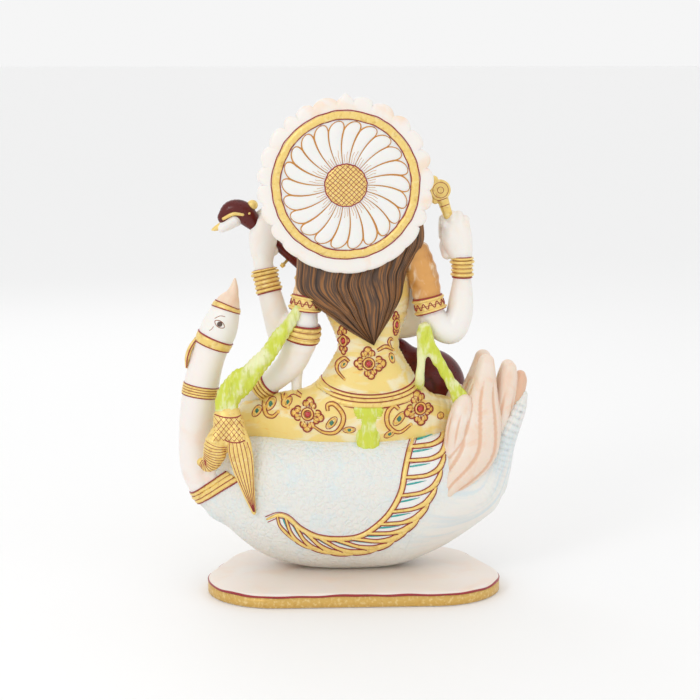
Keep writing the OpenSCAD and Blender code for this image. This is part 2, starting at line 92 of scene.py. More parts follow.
def catmull(points, per_span):
    """A smooth line of samples through every station, all columns together."""
    p = np.array(points, float)
    ext = np.vstack([2 * p[0] - p[1], p, 2 * p[-1] - p[-2]])
    out = []
    for i in range(len(p) - 1):
        a, b, c, d = ext[i:i + 4]
        t = np.arange(per_span)[:, None] / per_span
        out.append(0.5 * (2 * b + (c - a) * t + (2 * a - 5 * b + 4 * c - d) * t ** 2
                          + (3 * b - a - 3 * c + d) * t ** 3))
    out.append(p[-1:])
    return np.vstack(out)


class Limb:
    """Ellipses swept along stations of x, y, z, half width, half depth."""

    def __init__(self, stations, up=(0, 1, 0), per_span=5):
        s = catmull(stations, per_span)
        s[:, 3:] = np.maximum(s[:, 3:], 0.15)
        self.c, self.r, self.per_span = s[:, :3], s[:, 3:], per_span
        t = np.gradient(self.c, axis=0)
        self.t = t / np.linalg.norm(t, axis=1)[:, None]
        u = np.cross(self.t, np.array(up, float))
        self.u = u / np.linalg.norm(u, axis=1)[:, None]
        self.v = np.cross(self.t, self.u)

    def nearest(self, p):
        """Where along the limb each point belongs, in samples."""
        a, ab = self.c[:-1], self.c[1:] - self.c[:-1]
        mean_r = self.r.mean(1)
        length = (ab ** 2).sum(1)
        out = np.empty(len(p))
        for i in range(0, len(p), 30000):
            q = p[i:i + 30000, None, :] - a[None]
            t = np.clip((q * ab[None]).sum(2) / length, 0, 1)
            d = np.linalg.norm(q - t[..., None] * ab[None], axis=2)
            d -= mean_r[:-1] * (1 - t) + mean_r[1:] * t
            j = d.argmin(1)
            out[i:i + 30000] = j + t[np.arange(len(j)), j]
        return out

    def at(self, s, column):
        i = np.clip(s.astype(int), 0, len(self.c) - 2)
        f = (s - i)[:, None]
        return column[i] * (1 - f) + column[i + 1] * f

    def __call__(self, p, grow=0.0):
        s = self.nearest(p)
        w = p - self.at(s, self.c)
        r = np.maximum(self.at(s, self.r) + grow, 0.05)
        q = np.stack([(w * self.at(s, self.u)).sum(1), (w * self.at(s, self.v)).sum(1),
                      (w * self.at(s, self.t)).sum(1)], 1)
        r = np.column_stack([r, r.min(1)])
        k0 = np.linalg.norm(q / r, axis=1)
        k1 = np.linalg.norm(q / (r * r), axis=1)
        return k0 * (k0 - 1) / np.maximum(k1, 1e-9)

    def angle(self, p):
        """Turn about the limb, 0 to 1, and place along it, in stations."""
        s = self.nearest(p)
        w = p - self.at(s, self.c)
        turn = np.arctan2((w * self.at(s, self.v)).sum(1), (w * self.at(s, self.u)).sum(1))
        return turn / (2 * math.pi) % 1, s / self.per_span

    def ray(self, turn, place):
        """Start and direction of a ray onto the limb's skin, for wrapped trim."""
        s = np.clip(np.asarray(place, float) * self.per_span, 0, len(self.c) - 1.001)
        a = np.asarray(turn, float) * 2 * math.pi
        out = self.at(s, self.u) * np.cos(a)[:, None] + self.at(s, self.v) * np.sin(a)[:, None]
        c = self.at(s, self.c)
        reach = self.at(s, self.r).max(1)[:, None] * 1.2 + 6
        return c + out * reach, -out

    def skin_line(self, s, a, out):
        """Points at samples s and angles a, so far outside the limb's skin."""
        u, v, c, r = [self.at(s, column) for column in (self.u, self.v, self.c, self.r)]
        return c + u * ((r[:, 0] + out) * np.cos(a))[:, None] + v * ((r[:, 1] + out) * np.sin(a))[:, None]


def union(*fields, k=4.0):
    def field(p):
        d = fields[0](p)
        for f in fields[1:]:
            d = smooth_min(d, f(p), k)
        return d
    return field


def sample(field, low, high, pitch):
    """The field on a grid, worked out fully only in blocks that the surface crosses."""
    block = 6
    low = np.array(low, float)
    counts = np.ceil((np.array(high, float) - low) / pitch / block).astype(int) + 1
    idx = np.stack(np.meshgrid(*[np.arange(c) for c in counts], indexing="ij"), -1).reshape(-1, 3)
    d = field(low + (idx * block + (block - 1) / 2) * pitch)
    grid = np.repeat(np.repeat(np.repeat(d.reshape(counts), block, 0), block, 1), block, 2)
    near = idx[np.abs(d) < block * pitch * 1.35 + 1.5]
    cell = np.stack(np.meshgrid(*[np.arange(block)] * 3, indexing="ij"), -1).reshape(-1, 3)
    nodes = (near[:, None, :] * block + cell[None]).reshape(-1, 3)
    grid[tuple(nodes.T)] = field(low + nodes * pitch)
    return grid


CORNERS = np.array([(i, j, k) for i in (0, 1) for j in (0, 1) for k in (0, 1)])
EDGES = [(a, b) for a in range(8) for b in range(a + 1, 8)
         if abs(CORNERS[a] - CORNERS[b]).sum() == 1]


def surface(field, low, high, pitch):
    """Vertices and quads of the field's zero surface, by surface nets."""
    pitch = pitch * COARSE
    low = np.array(low, float) - 2 * pitch
    high = np.array(high, float) + 2 * pitch
    g = sample(field, low, high, pitch)
    inside = g < 0
    n = np.array(g.shape) - 1
    count = sum(inside[i:n[0] + i, j:n[1] + j, k:n[2] + k].astype(np.int8) for i, j, k in CORNERS)
    cells = np.argwhere((count > 0) & (count < 8))
    values = np.stack([g[tuple((cells + c).T)] for c in CORNERS], 1)
    total = np.zeros((len(cells), 3))
    crossings = np.zeros(len(cells))
    for a, b in EDGES:
        fa, fb = values[:, a], values[:, b]
        m = (fa < 0) != (fb < 0)
        t = fa[m] / (fa[m] - fb[m])
        total[m] += CORNERS[a] + t[:, None] * (CORNERS[b] - CORNERS[a])
        crossings[m] += 1
    verts = low + (cells + total / crossings[:, None]) * pitch
    number = np.full(n, -1, np.int64)
    number[tuple(cells.T)] = np.arange(len(cells))
    quads = []
    for axis in range(3):
        b, c = [x for x in range(3) if x != axis]
        first = [slice(None)] * 3
        second = [slice(None)] * 3
        first[axis], second[axis] = slice(0, -1), slice(1, None)
        s0, s1 = inside[tuple(first)], inside[tuple(second)]
        for flip, mask in ((False, s0 & ~s1), (True, ~s0 & s1)):
            e = np.argwhere(mask)
            e = e[(e[:, b] > 0) & (e[:, c] > 0) & (e[:, b] < n[b]) & (e[:, c] < n[c])]
            ring = []
            for db, dc in ((1, 1), (0, 1), (0, 0), (1, 0)):
                q = e.copy()
                q[:, b] -= db
                q[:, c] -= dc
                ring.append(number[tuple(q.T)])
            ring = np.stack(ring, 1)
            if flip != (axis == 1):
                ring = ring[:, ::-1]
            quads.append(ring)
    quads = np.vstack(quads)
    quads = quads[(quads >= 0).all(1)]
    e = pitch * 0.2
    for _ in range(2):
        d = field(verts)
        grad = np.stack([field(verts + e * np.eye(3)[i]) - d for i in range(3)], 1) / e
        size = np.maximum((grad ** 2).sum(1), 0.05)
        verts -= np.clip(d / size, -pitch * 0.5, pitch * 0.5)[:, None] * grad
    return verts, quads


# ---------------------------------------------------------------- pieces

MADE = {}


def ring_loft(rings, closed=False):
    """Vertices and quads over equal closed rings; closed joins the last ring to the first."""
    rings = np.asarray(rings)
    k, m = rings.shape[:2]
    faces = []
    for i in range(k if closed else k - 1):
        a, b = i * m, (i + 1) % k * m
        faces += [[a + j, a + (j + 1) % m, b + (j + 1) % m, b + j] for j in range(m)]
    if not closed:
        faces += [list(range(m))[::-1], [(k - 1) * m + j for j in range(m)]]
    return rings.reshape(-1, 3), faces


def mesh_piece(name, verts, faces, material, slot, stands_for=(), attributes=None):
    """Makes one smooth piece from vertices in millimetres, riding on the root body."""
    verts = np.asarray(verts, float)
    mesh = bpy.data.meshes.new(name)
    if isinstance(faces, np.ndarray):
        faces = faces.tolist()
    mesh.from_pydata((verts * MM).tolist(), [], faces)
    mesh.polygons.foreach_set("use_smooth", [True] * len(mesh.polygons))
    for key, values in (attributes or {}).items():
        data = mesh.attributes.new(key, "FLOAT", "POINT").data
        data.foreach_set("value", np.asarray(values, np.float32))
    obj = bpy.data.objects.new(name, mesh)
    bpy.context.scene.collection.objects.link(obj)
    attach(obj, "root")
    kept = [n for n in stands_for if n in NODES]
    if kept:
        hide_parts(*kept)
    mesh.materials.append(material)
    MADE[name] = (verts, faces)


def carve(name, field, low, high, pitch, material, slot, stands_for=(), paint=None):
    """A piece from a distance field, with painted values worked out at its vertices."""
    verts, quads = surface(field, low, high, pitch)
    attributes = {k: f(verts) for k, f in (paint or {}).items()}
    mesh_piece(name, verts, quads, material, slot, stands_for, attributes)


class Skin:
    """Surfaces that trim is laid on."""

    def __init__(self, *names):
        verts, faces, base = [], [], 0
        for n in names:
            v, f = MADE[n]
            verts.append(v)
            faces += [[i + base for i in q] for q in f]
            base += len(v)
        self.tree = BVHTree.FromPolygons(np.vstack(verts).tolist(), faces)

    def cast(self, starts, ways):
        """Hit points and outward normals; missed rays give nan."""
        hits = np.full((len(starts), 3), np.nan)
        normals = np.full((len(starts), 3), np.nan)
        for i, (s, w) in enumerate(zip(starts, ways)):
            loc, nor, _, _ = self.tree.ray_cast(Vector(s), Vector(w))
            if loc is not None:
                hits[i] = loc
                normals[i] = nor if nor.dot(Vector(w)) < 0 else -nor
        return hits, normals


def from_side(side):
    """Maps (x, z) to rays along Y: side 1 looks at the back, -1 at the front."""
    def rays(uv):
        start = np.column_stack([uv[:, 0], np.full(len(uv), side * 300.0), uv[:, 1]])
        return start, np.tile([0.0, -side, 0.0], (len(uv), 1))
    return rays


def round_limb(limb):
    """Maps (turn, place along) to rays onto a limb."""
    return lambda uv: limb.ray(uv[:, 0], uv[:, 1])


def left_of(line, closed=False):
    """Unit vectors to the left of a flat line, at each of its points."""
    t = np.roll(line, -1, 0) - np.roll(line, 1, 0) if closed else np.gradient(line, axis=0)
    t /= np.maximum(np.linalg.norm(t, axis=1), 1e-9)[:, None]
    return np.column_stack([-t[:, 1], t[:, 0]])


def shifted(line, by):
    """A line moved sideways, to its left for a positive distance."""
    line = np.asarray(line, float)
    by = np.broadcast_to(np.asarray(by, float), (len(line),))
    return line + left_of(line) * by[:, None]


class Trim:
    """Gathers many raised strokes laid on a skin into one piece."""

    def __init__(self, skin=None, rays=None):
        self.skin, self.rays = skin, rays
        self.verts, self.faces = [], []

    def add(self, verts, faces):
        """Adds one closed solid."""
        base = sum(len(v) for v in self.verts)
        self.verts.append(verts)
        self.faces += [[i + base for i in face] for face in faces]

    def ribbon(self, line, half_width, rise, across=5, closed=False, sink=0.35):
        """A raised stroke: domed on top, sunk a little below the skin."""
        line = np.asarray(line, float)
        w = np.broadcast_to(np.asarray(half_width, float), (len(line),))
        side = left_of(line, closed)
        steps = np.linspace(-1, 1, across)
        uv = (line[:, None, :] + side[:, None, :] * (w[:, None] * steps[None])[..., None]).reshape(-1, 2)
        hit, nor = self.skin.cast(*self.rays(uv))
        hit, nor = hit.reshape(len(line), across, 3), nor.reshape(len(line), across, 3)
        middle = nor.mean(1)
        middle /= np.linalg.norm(middle, axis=1)[:, None]
        height = rise * np.sqrt(np.maximum(1 - steps ** 2, 0)) - 0.06
        top = hit + middle[:, None, :] * height[None, :, None]
        bottom = hit[:, [-1, 0]] - middle[:, None, :] * sink
        rings = np.concatenate([top, bottom], 1)
        good = np.isfinite(rings).all((1, 2))
        jump = np.linalg.norm(np.diff(hit[:, across // 2], axis=0), axis=1)
        step = np.median(jump[np.isfinite(jump)]) if np.isfinite(jump).any() else 1.0
        runs, run = [], []
        for i in range(len(line)):
            if good[i] and (not run or jump[i - 1] < 6 * step + 1.5):
                run.append(i)
            else:
                runs.append(run)
                run = [i] if good[i] else []
        runs.append(run)
        for run in runs:
            if len(run) > 1:
                self.add(*ring_loft(rings[run], closed and len(run) == len(line)))

    def piece(self, name, material, slot="gold_paint", stands_for=()):
        if self.verts:
            mesh_piece(name, np.vstack(self.verts), self.faces, material, slot, stands_for)


def bezier(points, n=24):
    """Smooth line of n or more samples through 2-D or 3-D points."""
    return catmull(points, max(2, math.ceil(n / (len(points) - 1))))


# ---------------------------------------------------------------- materials

class Paint:
    """A Principled material built from noise layers, in object coordinates."""

    def __init__(self, name, colour, rough=0.4, metal=0.0, coat=0.0, glow=0.0):
        self.material = bpy.data.materials.new(name)
        self.material.use_nodes = True
        self.tree = self.material.node_tree
        self.shader = self.tree.nodes["Principled BSDF"]
        self.shader.inputs["Roughness"].default_value = rough
        self.shader.inputs["Metallic"].default_value = metal
        self.shader.inputs["Coat Weight"].default_value = coat
        if glow:
            self.shader.inputs["Subsurface Weight"].default_value = glow
            self.shader.inputs["Subsurface Scale"].default_value = 0.004
        self.place = self.node("ShaderNodeTexCoord").outputs["Object"]
        self.colour = self.rgb(colour)
        self.height = None

    def node(self, kind, **values):
        n = self.tree.nodes.new(kind)
        for k, v in values.items():
            setattr(n, k, v)
        return n

    def link(self, a, b):
        self.tree.links.new(a, b)

    def rgb(self, c):
        n = self.node("ShaderNodeRGB")
        n.outputs[0].default_value = (*c, 1)
        return n.outputs[0]

    def stretch(self, by):
        n = self.node("ShaderNodeMapping")
        n.inputs["Scale"].default_value = by
        self.link(self.place, n.inputs["Vector"])
        return n.outputs[0]

    def attribute(self, name):
        return self.node("ShaderNodeAttribute", attribute_name=name).outputs["Fac"]

    def joined(self, *parts):
        n = self.node("ShaderNodeCombineXYZ")
        for part, socket in zip(parts, n.inputs):
            if isinstance(part, (int, float)):
                socket.default_value = part
            else:
                self.link(part, socket)
        return n.outputs[0]

    def sums(self, a, b, op="MULTIPLY"):
        n = self.node("ShaderNodeMath", operation=op)
        for value, socket in zip((a, b), n.inputs):
            if isinstance(value, (int, float)):
                socket.default_value = value
            else:
                self.link(value, socket)
        return n.outputs[0]

    def noise(self, size_mm, detail=3.0, at=None, warp=0.0):
        n = self.node("ShaderNodeTexNoise")
        n.inputs["Scale"].default_value = 1000 / size_mm
        n.inputs["Detail"].default_value = detail
        n.inputs["Distortion"].default_value = warp
        self.link(at or self.place, n.inputs["Vector"])
        return n.outputs["Fac"]

    def cells(self, size_mm, at=None, feature="DISTANCE_TO_EDGE"):
        n = self.node("ShaderNodeTexVoronoi", feature=feature)
        n.inputs["Scale"].default_value = 1000 / size_mm
        self.link(at or self.place, n.inputs["Vector"])
        return n.outputs["Distance"]

    def fade(self, value, low, high, top=1.0):
        n = self.node("ShaderNodeMapRange", interpolation_type="SMOOTHSTEP")
        n.inputs["From Min"].default_value = low
        n.inputs["From Max"].default_value = high
        n.inputs["To Max"].default_value = top
        self.link(value, n.inputs["Value"])
        return n.outputs[0]

    def layer(self, mask, colour):
        n = self.node("ShaderNodeMix", data_type="RGBA")
        self.link(mask, n.inputs[0])
        self.link(self.colour, n.inputs[6])
        self.link(self.rgb(colour), n.inputs[7])
        self.colour = n.outputs[2]

    def bump(self, value, depth_mm):
        n = self.node("ShaderNodeBump")
        n.inputs["Distance"].default_value = depth_mm * MM
        n.inputs["Strength"].default_value = 1.0
        self.link(value, n.inputs["Height"])
        if self.height:
            self.link(self.height, n.inputs["Normal"])
        self.height = n.outputs[0]

    def vary_rough(self, value, low, high):
        n = self.node("ShaderNodeMapRange")
        n.inputs["To Min"].default_value = low
        n.inputs["To Max"].default_value = high
        self.link(value, n.inputs["Value"])
        self.link(n.outputs[0], self.shader.inputs["Roughness"])

    def done(self):
        self.link(self.colour, self.shader.inputs["Base Color"])
        if self.height:
            self.link(self.height, self.shader.inputs["Normal"])
        return self.material


def marble(name, base=(0.88, 0.85, 0.80), tint=(0.93, 0.66, 0.45), amount=0.35):
    """Ivory marble with soft rust stains and polish marks."""
    m = Paint(name, base, rough=0.33, glow=0.12)
    m.layer(m.fade(m.noise(26, 4, warp=0.6), 0.5, 0.75, amount), tint)
    m.layer(m.fade(m.noise(7, 5), 0.62, 0.8, amount * 0.5), tint)
    m.layer(m.fade(m.noise(40, 3), 0.55, 0.75, 0.25), (0.80, 0.80, 0.80))
    m.vary_rough(m.noise(4, 4), 0.26, 0.42)
    m.bump(m.noise(5, 4), 0.12)
    return m.done()


def gold(name="gold_paint", base=(0.88, 0.64, 0.20)):
    """Gold paint, worn darker in patches, with pale painted highlight patches, over a lightly grained
    ground.
    """
    m = Paint(name, base, rough=0.34, metal=0.3)
    m.layer(m.fade(m.noise(3.2, 4), 0.54, 0.72, 0.5), (0.55, 0.30, 0.06))
    # painted highlight: pale gold patches set by noise
    m.layer(m.fade(m.noise(2.0, 2), 0.48, 0.72, 0.45), (0.95, 0.80, 0.42))
    m.vary_rough(m.noise(1.5, 3), 0.24, 0.5)
    m.bump(m.noise(0.9, 3), 0.10)
    return m.done()


def wine(name="wine_line", base=(0.33, 0.020, 0.026), rough=0.45):
    """Dark red enamel with uneven cover."""
    m = Paint(name, base, rough=rough, coat=0.2)
    m.layer(m.fade(m.noise(2.5, 4), 0.5, 0.75, 0.5), (0.15, 0.022, 0.03))
    m.layer(m.fade(m.noise(1.2, 3), 0.66, 0.8, 0.3), (0.45, 0.16, 0.12))
    m.vary_rough(m.noise(2, 3), rough - 0.12, rough + 0.1)
    m.bump(m.noise(1.2, 3), 0.08)
    return m.done()


def sari(name="sari", base=(0.88, 0.67, 0.22)):
    """Yellow wash brushed over white marble."""
    m = Paint(name, base, rough=0.38, glow=0.08)
    m.layer(m.fade(m.noise(13, 4, m.stretch((0.45, 0.8, 1.2)), 1.0), 0.47, 0.64, 0.85), (0.89, 0.80, 0.56))
    m.layer(m.fade(m.noise(6, 4, m.stretch((0.4, 1, 1.4)), 0.8), 0.55, 0.72, 0.6), (0.88, 0.52, 0.08))
    m.vary_rough(m.noise(3, 3), 0.3, 0.48)
    m.bump(m.noise(3.5, 4, m.stretch((0.5, 1, 1))), 0.12)
    return m.done()


def swan_feather(name="swan_down"):
    """White marble with scale carving and pale blue wash."""
    m = Paint(name, (0.79, 0.79, 0.745), rough=0.4, glow=0.08)
    wobble = m.noise(9, 3)
    m.layer(m.fade(m.noise(10, 5, warp=0.8), 0.48, 0.68, 0.6), (0.70, 0.79, 0.81))
    m.layer(m.fade(m.noise(3.2, 4), 0.6, 0.74, 0.4), (0.55, 0.72, 0.78))
    m.layer(m.fade(m.noise(30, 3), 0.52, 0.72, 0.4), (0.88, 0.80, 0.70))
    m.layer(m.fade(m.attribute("low"), 0.2, 1.0, 0.45), (0.87, 0.79, 0.68))
    tail_share = m.attribute("tail")
    flow = m.joined(m.sums(m.attribute("across"), 0.16), m.sums(m.attribute("along"), 0.003), 0.0)
    m.layer(m.sums(tail_share, 0.85), (0.85, 0.83, 0.78))
    m.layer(m.sums(m.fade(m.noise(7, 4, flow), 0.42, 0.66, 0.6), tail_share), (0.60, 0.73, 0.79))
    m.layer(m.sums(m.fade(m.noise(3, 3, flow), 0.56, 0.7, 0.45), tail_share), (0.86, 0.78, 0.70))
    body_share = m.sums(1.0, tail_share, "SUBTRACT")
    m.bump(m.sums(m.fade(m.cells(3.8), 0.0, 0.3), body_share), 0.3)
    m.bump(m.sums(m.noise(5, 4), tail_share), 0.25)
    m.bump(wobble, 0.3)
    m.vary_rough(m.noise(4, 3), 0.32, 0.52)
    return m.done()


def peach(name="peach_marble", base=(0.85, 0.70, 0.58)):
    """Ivory marble rubbed with a peach glaze, with darker peach painted shade in the hollows."""
    m = Paint(name, base, rough=0.36, glow=0.1)
    m.layer(m.fade(m.noise(12, 4, warp=0.7), 0.45, 0.7, 0.6), (0.84, 0.56, 0.38))
    m.layer(m.fade(m.noise(22, 3), 0.54, 0.72, 0.5), (0.87, 0.82, 0.76))
    # painted shade: darker peach where the groove value is high, in the hollows
    m.layer(m.fade(m.attribute("groove"), 0.25, 1.0, 0.75), (0.74, 0.42, 0.25))
    m.bump(m.noise(3, 4), 0.16)
    m.vary_rough(m.noise(3, 3), 0.3, 0.5)
    return m.done()


def hair_brown(name="hair_paint"):
    """Dark brown strands dry-brushed with rust, with near-black painted shade in the grooves between them.
    """
    m = Paint(name, (0.082, 0.042, 0.022), rough=0.42)
    flow = m.joined(m.sums(m.attribute("across"), 0.10), m.sums(m.attribute("along"), 0.012), 0.0)
    m.layer(m.fade(m.noise(2.2, 3, flow), 0.44, 0.60, 0.85), (0.34, 0.135, 0.030))
    m.layer(m.fade(m.noise(1.1, 2, flow), 0.60, 0.72, 0.5), (0.24, 0.16, 0.10))
    # painted shade: near black in the grooves between strands
    m.layer(m.fade(m.attribute("groove"), 0.35, 1.0, 0.8), (0.018, 0.012, 0.010))
    m.bump(m.noise(1.4, 3, flow), 0.35)
    m.vary_rough(m.noise(2, 3, flow), 0.3, 0.55)
    return m.done()


def scarf_green(name="scarf_green"):
    """Lime wash that thins to white."""
    m = Paint(name, (0.62, 0.68, 0.06), rough=0.4, glow=0.08)
    m.layer(m.fade(m.noise(15, 3, warp=0.3), 0.50, 0.66, 0.7), (0.88, 0.88, 0.62))
    m.layer(m.fade(m.noise(4, 4, m.stretch((1.7, 1, 0.5))), 0.50, 0.66, 0.55), (0.86, 0.87, 0.50))
    m.layer(m.fade(m.noise(4, 3, m.stretch((1.9, 1, 0.5))), 0.58, 0.7, 0.6), (0.50, 0.56, 0.03))
    m.bump(m.noise(3, 4), 0.15)
    m.vary_rough(m.noise(3, 3), 0.3, 0.5)
    return m.done()


def sleeve_rust(name="sleeve_rust"):
    """Rust-orange wash with pale wiped patches."""
    m = Paint(name, (0.70, 0.34, 0.085), rough=0.36, coat=0.2)
    m.layer(m.fade(m.noise(9, 4, m.stretch((1.3, 1, 0.6)), 0.8), 0.48, 0.66, 0.85), (0.90, 0.72, 0.50))
    m.layer(m.fade(m.noise(14, 2), 0.5, 0.75, 0.6), (0.42, 0.15, 0.03))
    m.bump(m.noise(3, 4), 0.14)
    m.vary_rough(m.noise(3, 3), 0.26, 0.46)
    return m.done()


def veena_red(name="veena_wood"):
    """Maroon lacquer with blotches."""
    m = Paint(name, (0.11, 0.008, 0.006), rough=0.32, coat=0.15)
    m.shader.inputs["Specular IOR Level"].default_value = 0.3
    m.layer(m.fade(m.noise(6, 5), 0.5, 0.7, 0.7), (0.030, 0.005, 0.005))
    m.layer(m.fade(m.noise(2, 4), 0.62, 0.76, 0.5), (0.26, 0.04, 0.03))
    m.vary_rough(m.noise(3, 3), 0.2, 0.4)
    m.bump(m.noise(2.4, 4), 0.12)
    return m.done()


def plain_paint(name, base, rough=0.35, second=None, metal=0.0, coat=0.3):
    m = Paint(name, base, rough=rough, metal=metal, coat=coat)
    m.layer(m.fade(m.noise(2.5, 4), 0.5, 0.75, 0.5), second or tuple(0.6 * c for c in base))
    m.vary_rough(m.noise(2, 3), max(rough - 0.1, 0.05), rough + 0.12)
    m.bump(m.noise(1.5, 3), 0.05)
    return m.done()


IVORY = marble("ivory_marble")
NECK_BLUSH = marble("neck_marble", (0.89, 0.83, 0.78), (0.88, 0.60, 0.44), 0.55)
HALO_IVORY = marble("halo_marble", (0.88, 0.84, 0.79), (0.92, 0.62, 0.38), 0.65)
PLINTH_IVORY = marble("plinth_marble", (0.86, 0.77, 0.69), (0.88, 0.64, 0.48), 0.35)
PETAL_WHITE = marble("petal_marble", (0.87, 0.85, 0.82), (0.9, 0.75, 0.6), 0.15)
GOLD = gold()
ORNAMENT_GOLD = gold("ornament_gold", (0.82, 0.50, 0.11))
GOLD_BAND = gold("plinth_gold", (0.66, 0.41, 0.10))
OCHRE_LINE = plain_paint("ochre_line", (0.60, 0.25, 0.035), 0.45, (0.78, 0.45, 0.12))
WINE = wine()
SARI = sari()
DOWN = swan_feather()
PEACH = peach()
BEAK = peach("beak_peach", (0.87, 0.68, 0.52))
HAIR = hair_brown()
LIME = scarf_green()
RUST = sleeve_rust()
VEENA = veena_red()
RED_GEM = plain_paint("red_gem", (0.50, 0.012, 0.02), 0.12, (0.75, 0.08, 0.06), coat=1.0)
GREEN_GEM = plain_paint("green_gem", (0.012, 0.16, 0.09), 0.12, (0.03, 0.30, 0.18), coat=1.0)
TEAL_STROKE = plain_paint("teal_stroke", (0.02, 0.36, 0.32), 0.4, (0.35, 0.62, 0.58))
DARK_EYE = plain_paint("eye_dark", (0.10, 0.06, 0.045), 0.3)
BROWN_LINE = plain_paint("brown_line", (0.34, 0.11, 0.04), 0.5)
CREAM_BOARD = plain_paint("soundboard", (0.72, 0.54, 0.28), 0.4, (0.60, 0.40, 0.18))
STRING = plain_paint("string_paint", (0.75, 0.72, 0.66), 0.3, metal=0.6)
STEEL = plain_paint("dowel_steel", (0.45, 0.45, 0.46), 0.3, metal=0.9)
LIP = plain_paint("lip_paint", (0.60, 0.10, 0.09), 0.35)
WHITE_EYE = plain_paint("eye_white", (0.88, 0.87, 0.84), 0.25, (0.8, 0.78, 0.75))

# ---------------------------------------------------------------- key places, in millimetres

SWAN_Y = node_middle("swan_body")[1]
FIGURE_Y = node_middle("torso")[1]
HALO = node_middle("halo_boss")[[0, 2]]
HALO_BACK = node_box("halo_disc")[1][1]
HALO_FRONT = node_box("halo_disc")[0][1]
HALO_R = 53.0
HEAD = np.array([4.0, -12.0, 237.0])
PLINTH_TOP = node_box("plinth")[1]
PLINTH_BACK_R, PLINTH_FRONT_R, PLINTH_FRONT_X = 42, 28, 48     # corner radii, and the front corners' place
BODY_DEPTH = 37.0                                              # half the swan's body, front to back
BODY_POWER = 2.27                                              # how square the body's cross-section is
WAIST_X = -10


# ---------------------------------------------------------------- plinth

def plinth_outline(steps=220):
    """Points round the plinth, evenly spaced, with outward normals."""
    wide, deep = PLINTH_TOP[0], PLINTH_TOP[1]
    circles = [(s * (wide - PLINTH_BACK_R), deep - PLINTH_BACK_R, PLINTH_BACK_R) for s in (-1, 1)]
    circles += [(s * PLINTH_FRONT_X, PLINTH_FRONT_R - deep, PLINTH_FRONT_R) for s in (-1, 1)]
    a = turns(1440)
    n = np.stack([np.cos(a), np.sin(a)], 1)
    reach = np.stack([n @ np.array(c[:2]) + c[2] for c in circles], 1)
    best = reach.argmax(1)
    p = np.array([circles[b][:2] for b in best]) + n * np.array([circles[b][2] for b in best])[:, None]
    loop = np.vstack([p, p[:1]])
    length = np.concatenate([[0], np.cumsum(np.linalg.norm(np.diff(loop, axis=0), axis=1))])
    at = np.linspace(0, length[-1], steps, endpoint=False)
    out = np.stack([np.interp(at, length, loop[:, i]) for i in (0, 1)], 1)
    t = np.roll(out, -1, 0) - np.roll(out, 1, 0)
    t /= np.linalg.norm(t, axis=1)[:, None]
    return out, np.stack([t[:, 1], -t[:, 0]], 1)


def make_plinth():
    top = PLINTH_TOP[2]
    line, out = plinth_outline()
    shape = lambda inset, z: np.column_stack([line - out * inset, np.broadcast_to(z, (len(line),))])
    steps = [(1.2, 0), (0.4, 0.4), (0.25, 1.2), (0.25, top - 1.5), (0.5, top - 0.7), (1.2, top - 0.2),
             (2.2, top), (12, top)]
    mesh_piece("plinth_slab", *ring_loft([shape(*s) for s in steps]), PLINTH_IVORY, "ivory_marble",
               ["plinth"])
    rng = np.random.default_rng(4)
    turn = np.arange(len(line)) / len(line) * 2 * math.pi
    wave = sum(rng.uniform(0.08, 0.3) * np.sin(turn * k + rng.uniform(0, 6)) for k in (3, 5, 9, 14, 23))
    wide = 0.5 + 0.22 * np.abs(np.sin(turn * 7 + 1.3) * np.sin(turn * 3.0))
    low = top - 1.55 + 0.5 * wave - wide
    band = [shape(0.4, 0.5), shape(-0.05, 0.7), shape(-0.1, low * 0.5), shape(-0.05, low), shape(0.5, low)]
    mesh_piece("plinth_gold_band", *ring_loft(band, closed=True), GOLD_BAND, "gold_paint")
    rim = [shape(0.6, low - 0.1), shape(-0.15, low), shape(-0.28, low + wide), shape(0.15, low + 2 * wide),
           shape(1.0, low + 2 * wide - 0.15)]
    mesh_piece("plinth_line", *ring_loft(rim, closed=True), WINE, "wine_red")


# ---------------------------------------------------------------- swan

BODY_LINE = [(-93, 57, 72, 0.12), (-90, 47, 82, 0.3), (-82, 39, 90, 0.5), (-70, 29, 95, 0.72),
             (-52, 18.5, 97, 0.9),
             (-28, 9.5, 97, 1), (0, 7.5, 97, 1.03), (28, 9, 96, 1), (52, 15.5, 94, 0.89),
             (68, 26, 90, 0.73),
             (80, 38, 84, 0.5), (88, 47, 78, 0.3), (91, 56, 69, 0.12)]
BODY_FINE = catmull(BODY_LINE, 8)
neck = Limb([(80, SWAN_Y, 52, 13, 13), (89, SWAN_Y, 62, 12.4, 13), (94.5, SWAN_Y, 74, 11.6, 12),
             (95.6, SWAN_Y, 92, 10.8, 10.8), (94.3, SWAN_Y, 110, 10.8, 10.8),
             (91.5, SWAN_Y, 127, 10.6, 10.8),
             (88, SWAN_Y, 140, 10.2, 10.4), (84.6, SWAN_Y, 149.5, 10.6, 10.8),
             (81.4, SWAN_Y, 157, 11.2, 11.4),
             (78.4, SWAN_Y, 165, 9.6, 10.2), (75.8, SWAN_Y, 172.5, 7.3, 7.4), (73.6, SWAN_Y, 177, 4.6, 5),
             (72, SWAN_Y, 182, 2.8, 3), (71.2, SWAN_Y, 188, 0.8, 0.8)])
tail = Limb([(-50, SWAN_Y, 60, 17, 27), (-66, SWAN_Y, 55, 18, 27), (-78, SWAN_Y, 58.5, 16, 25),
             (-86, SWAN_Y, 70, 12.5, 21), (-92.5, SWAN_Y, 87, 9.5, 17), (-102, SWAN_Y, 106, 6, 12),
             (-106, SWAN_Y, 115, 3, 7)])


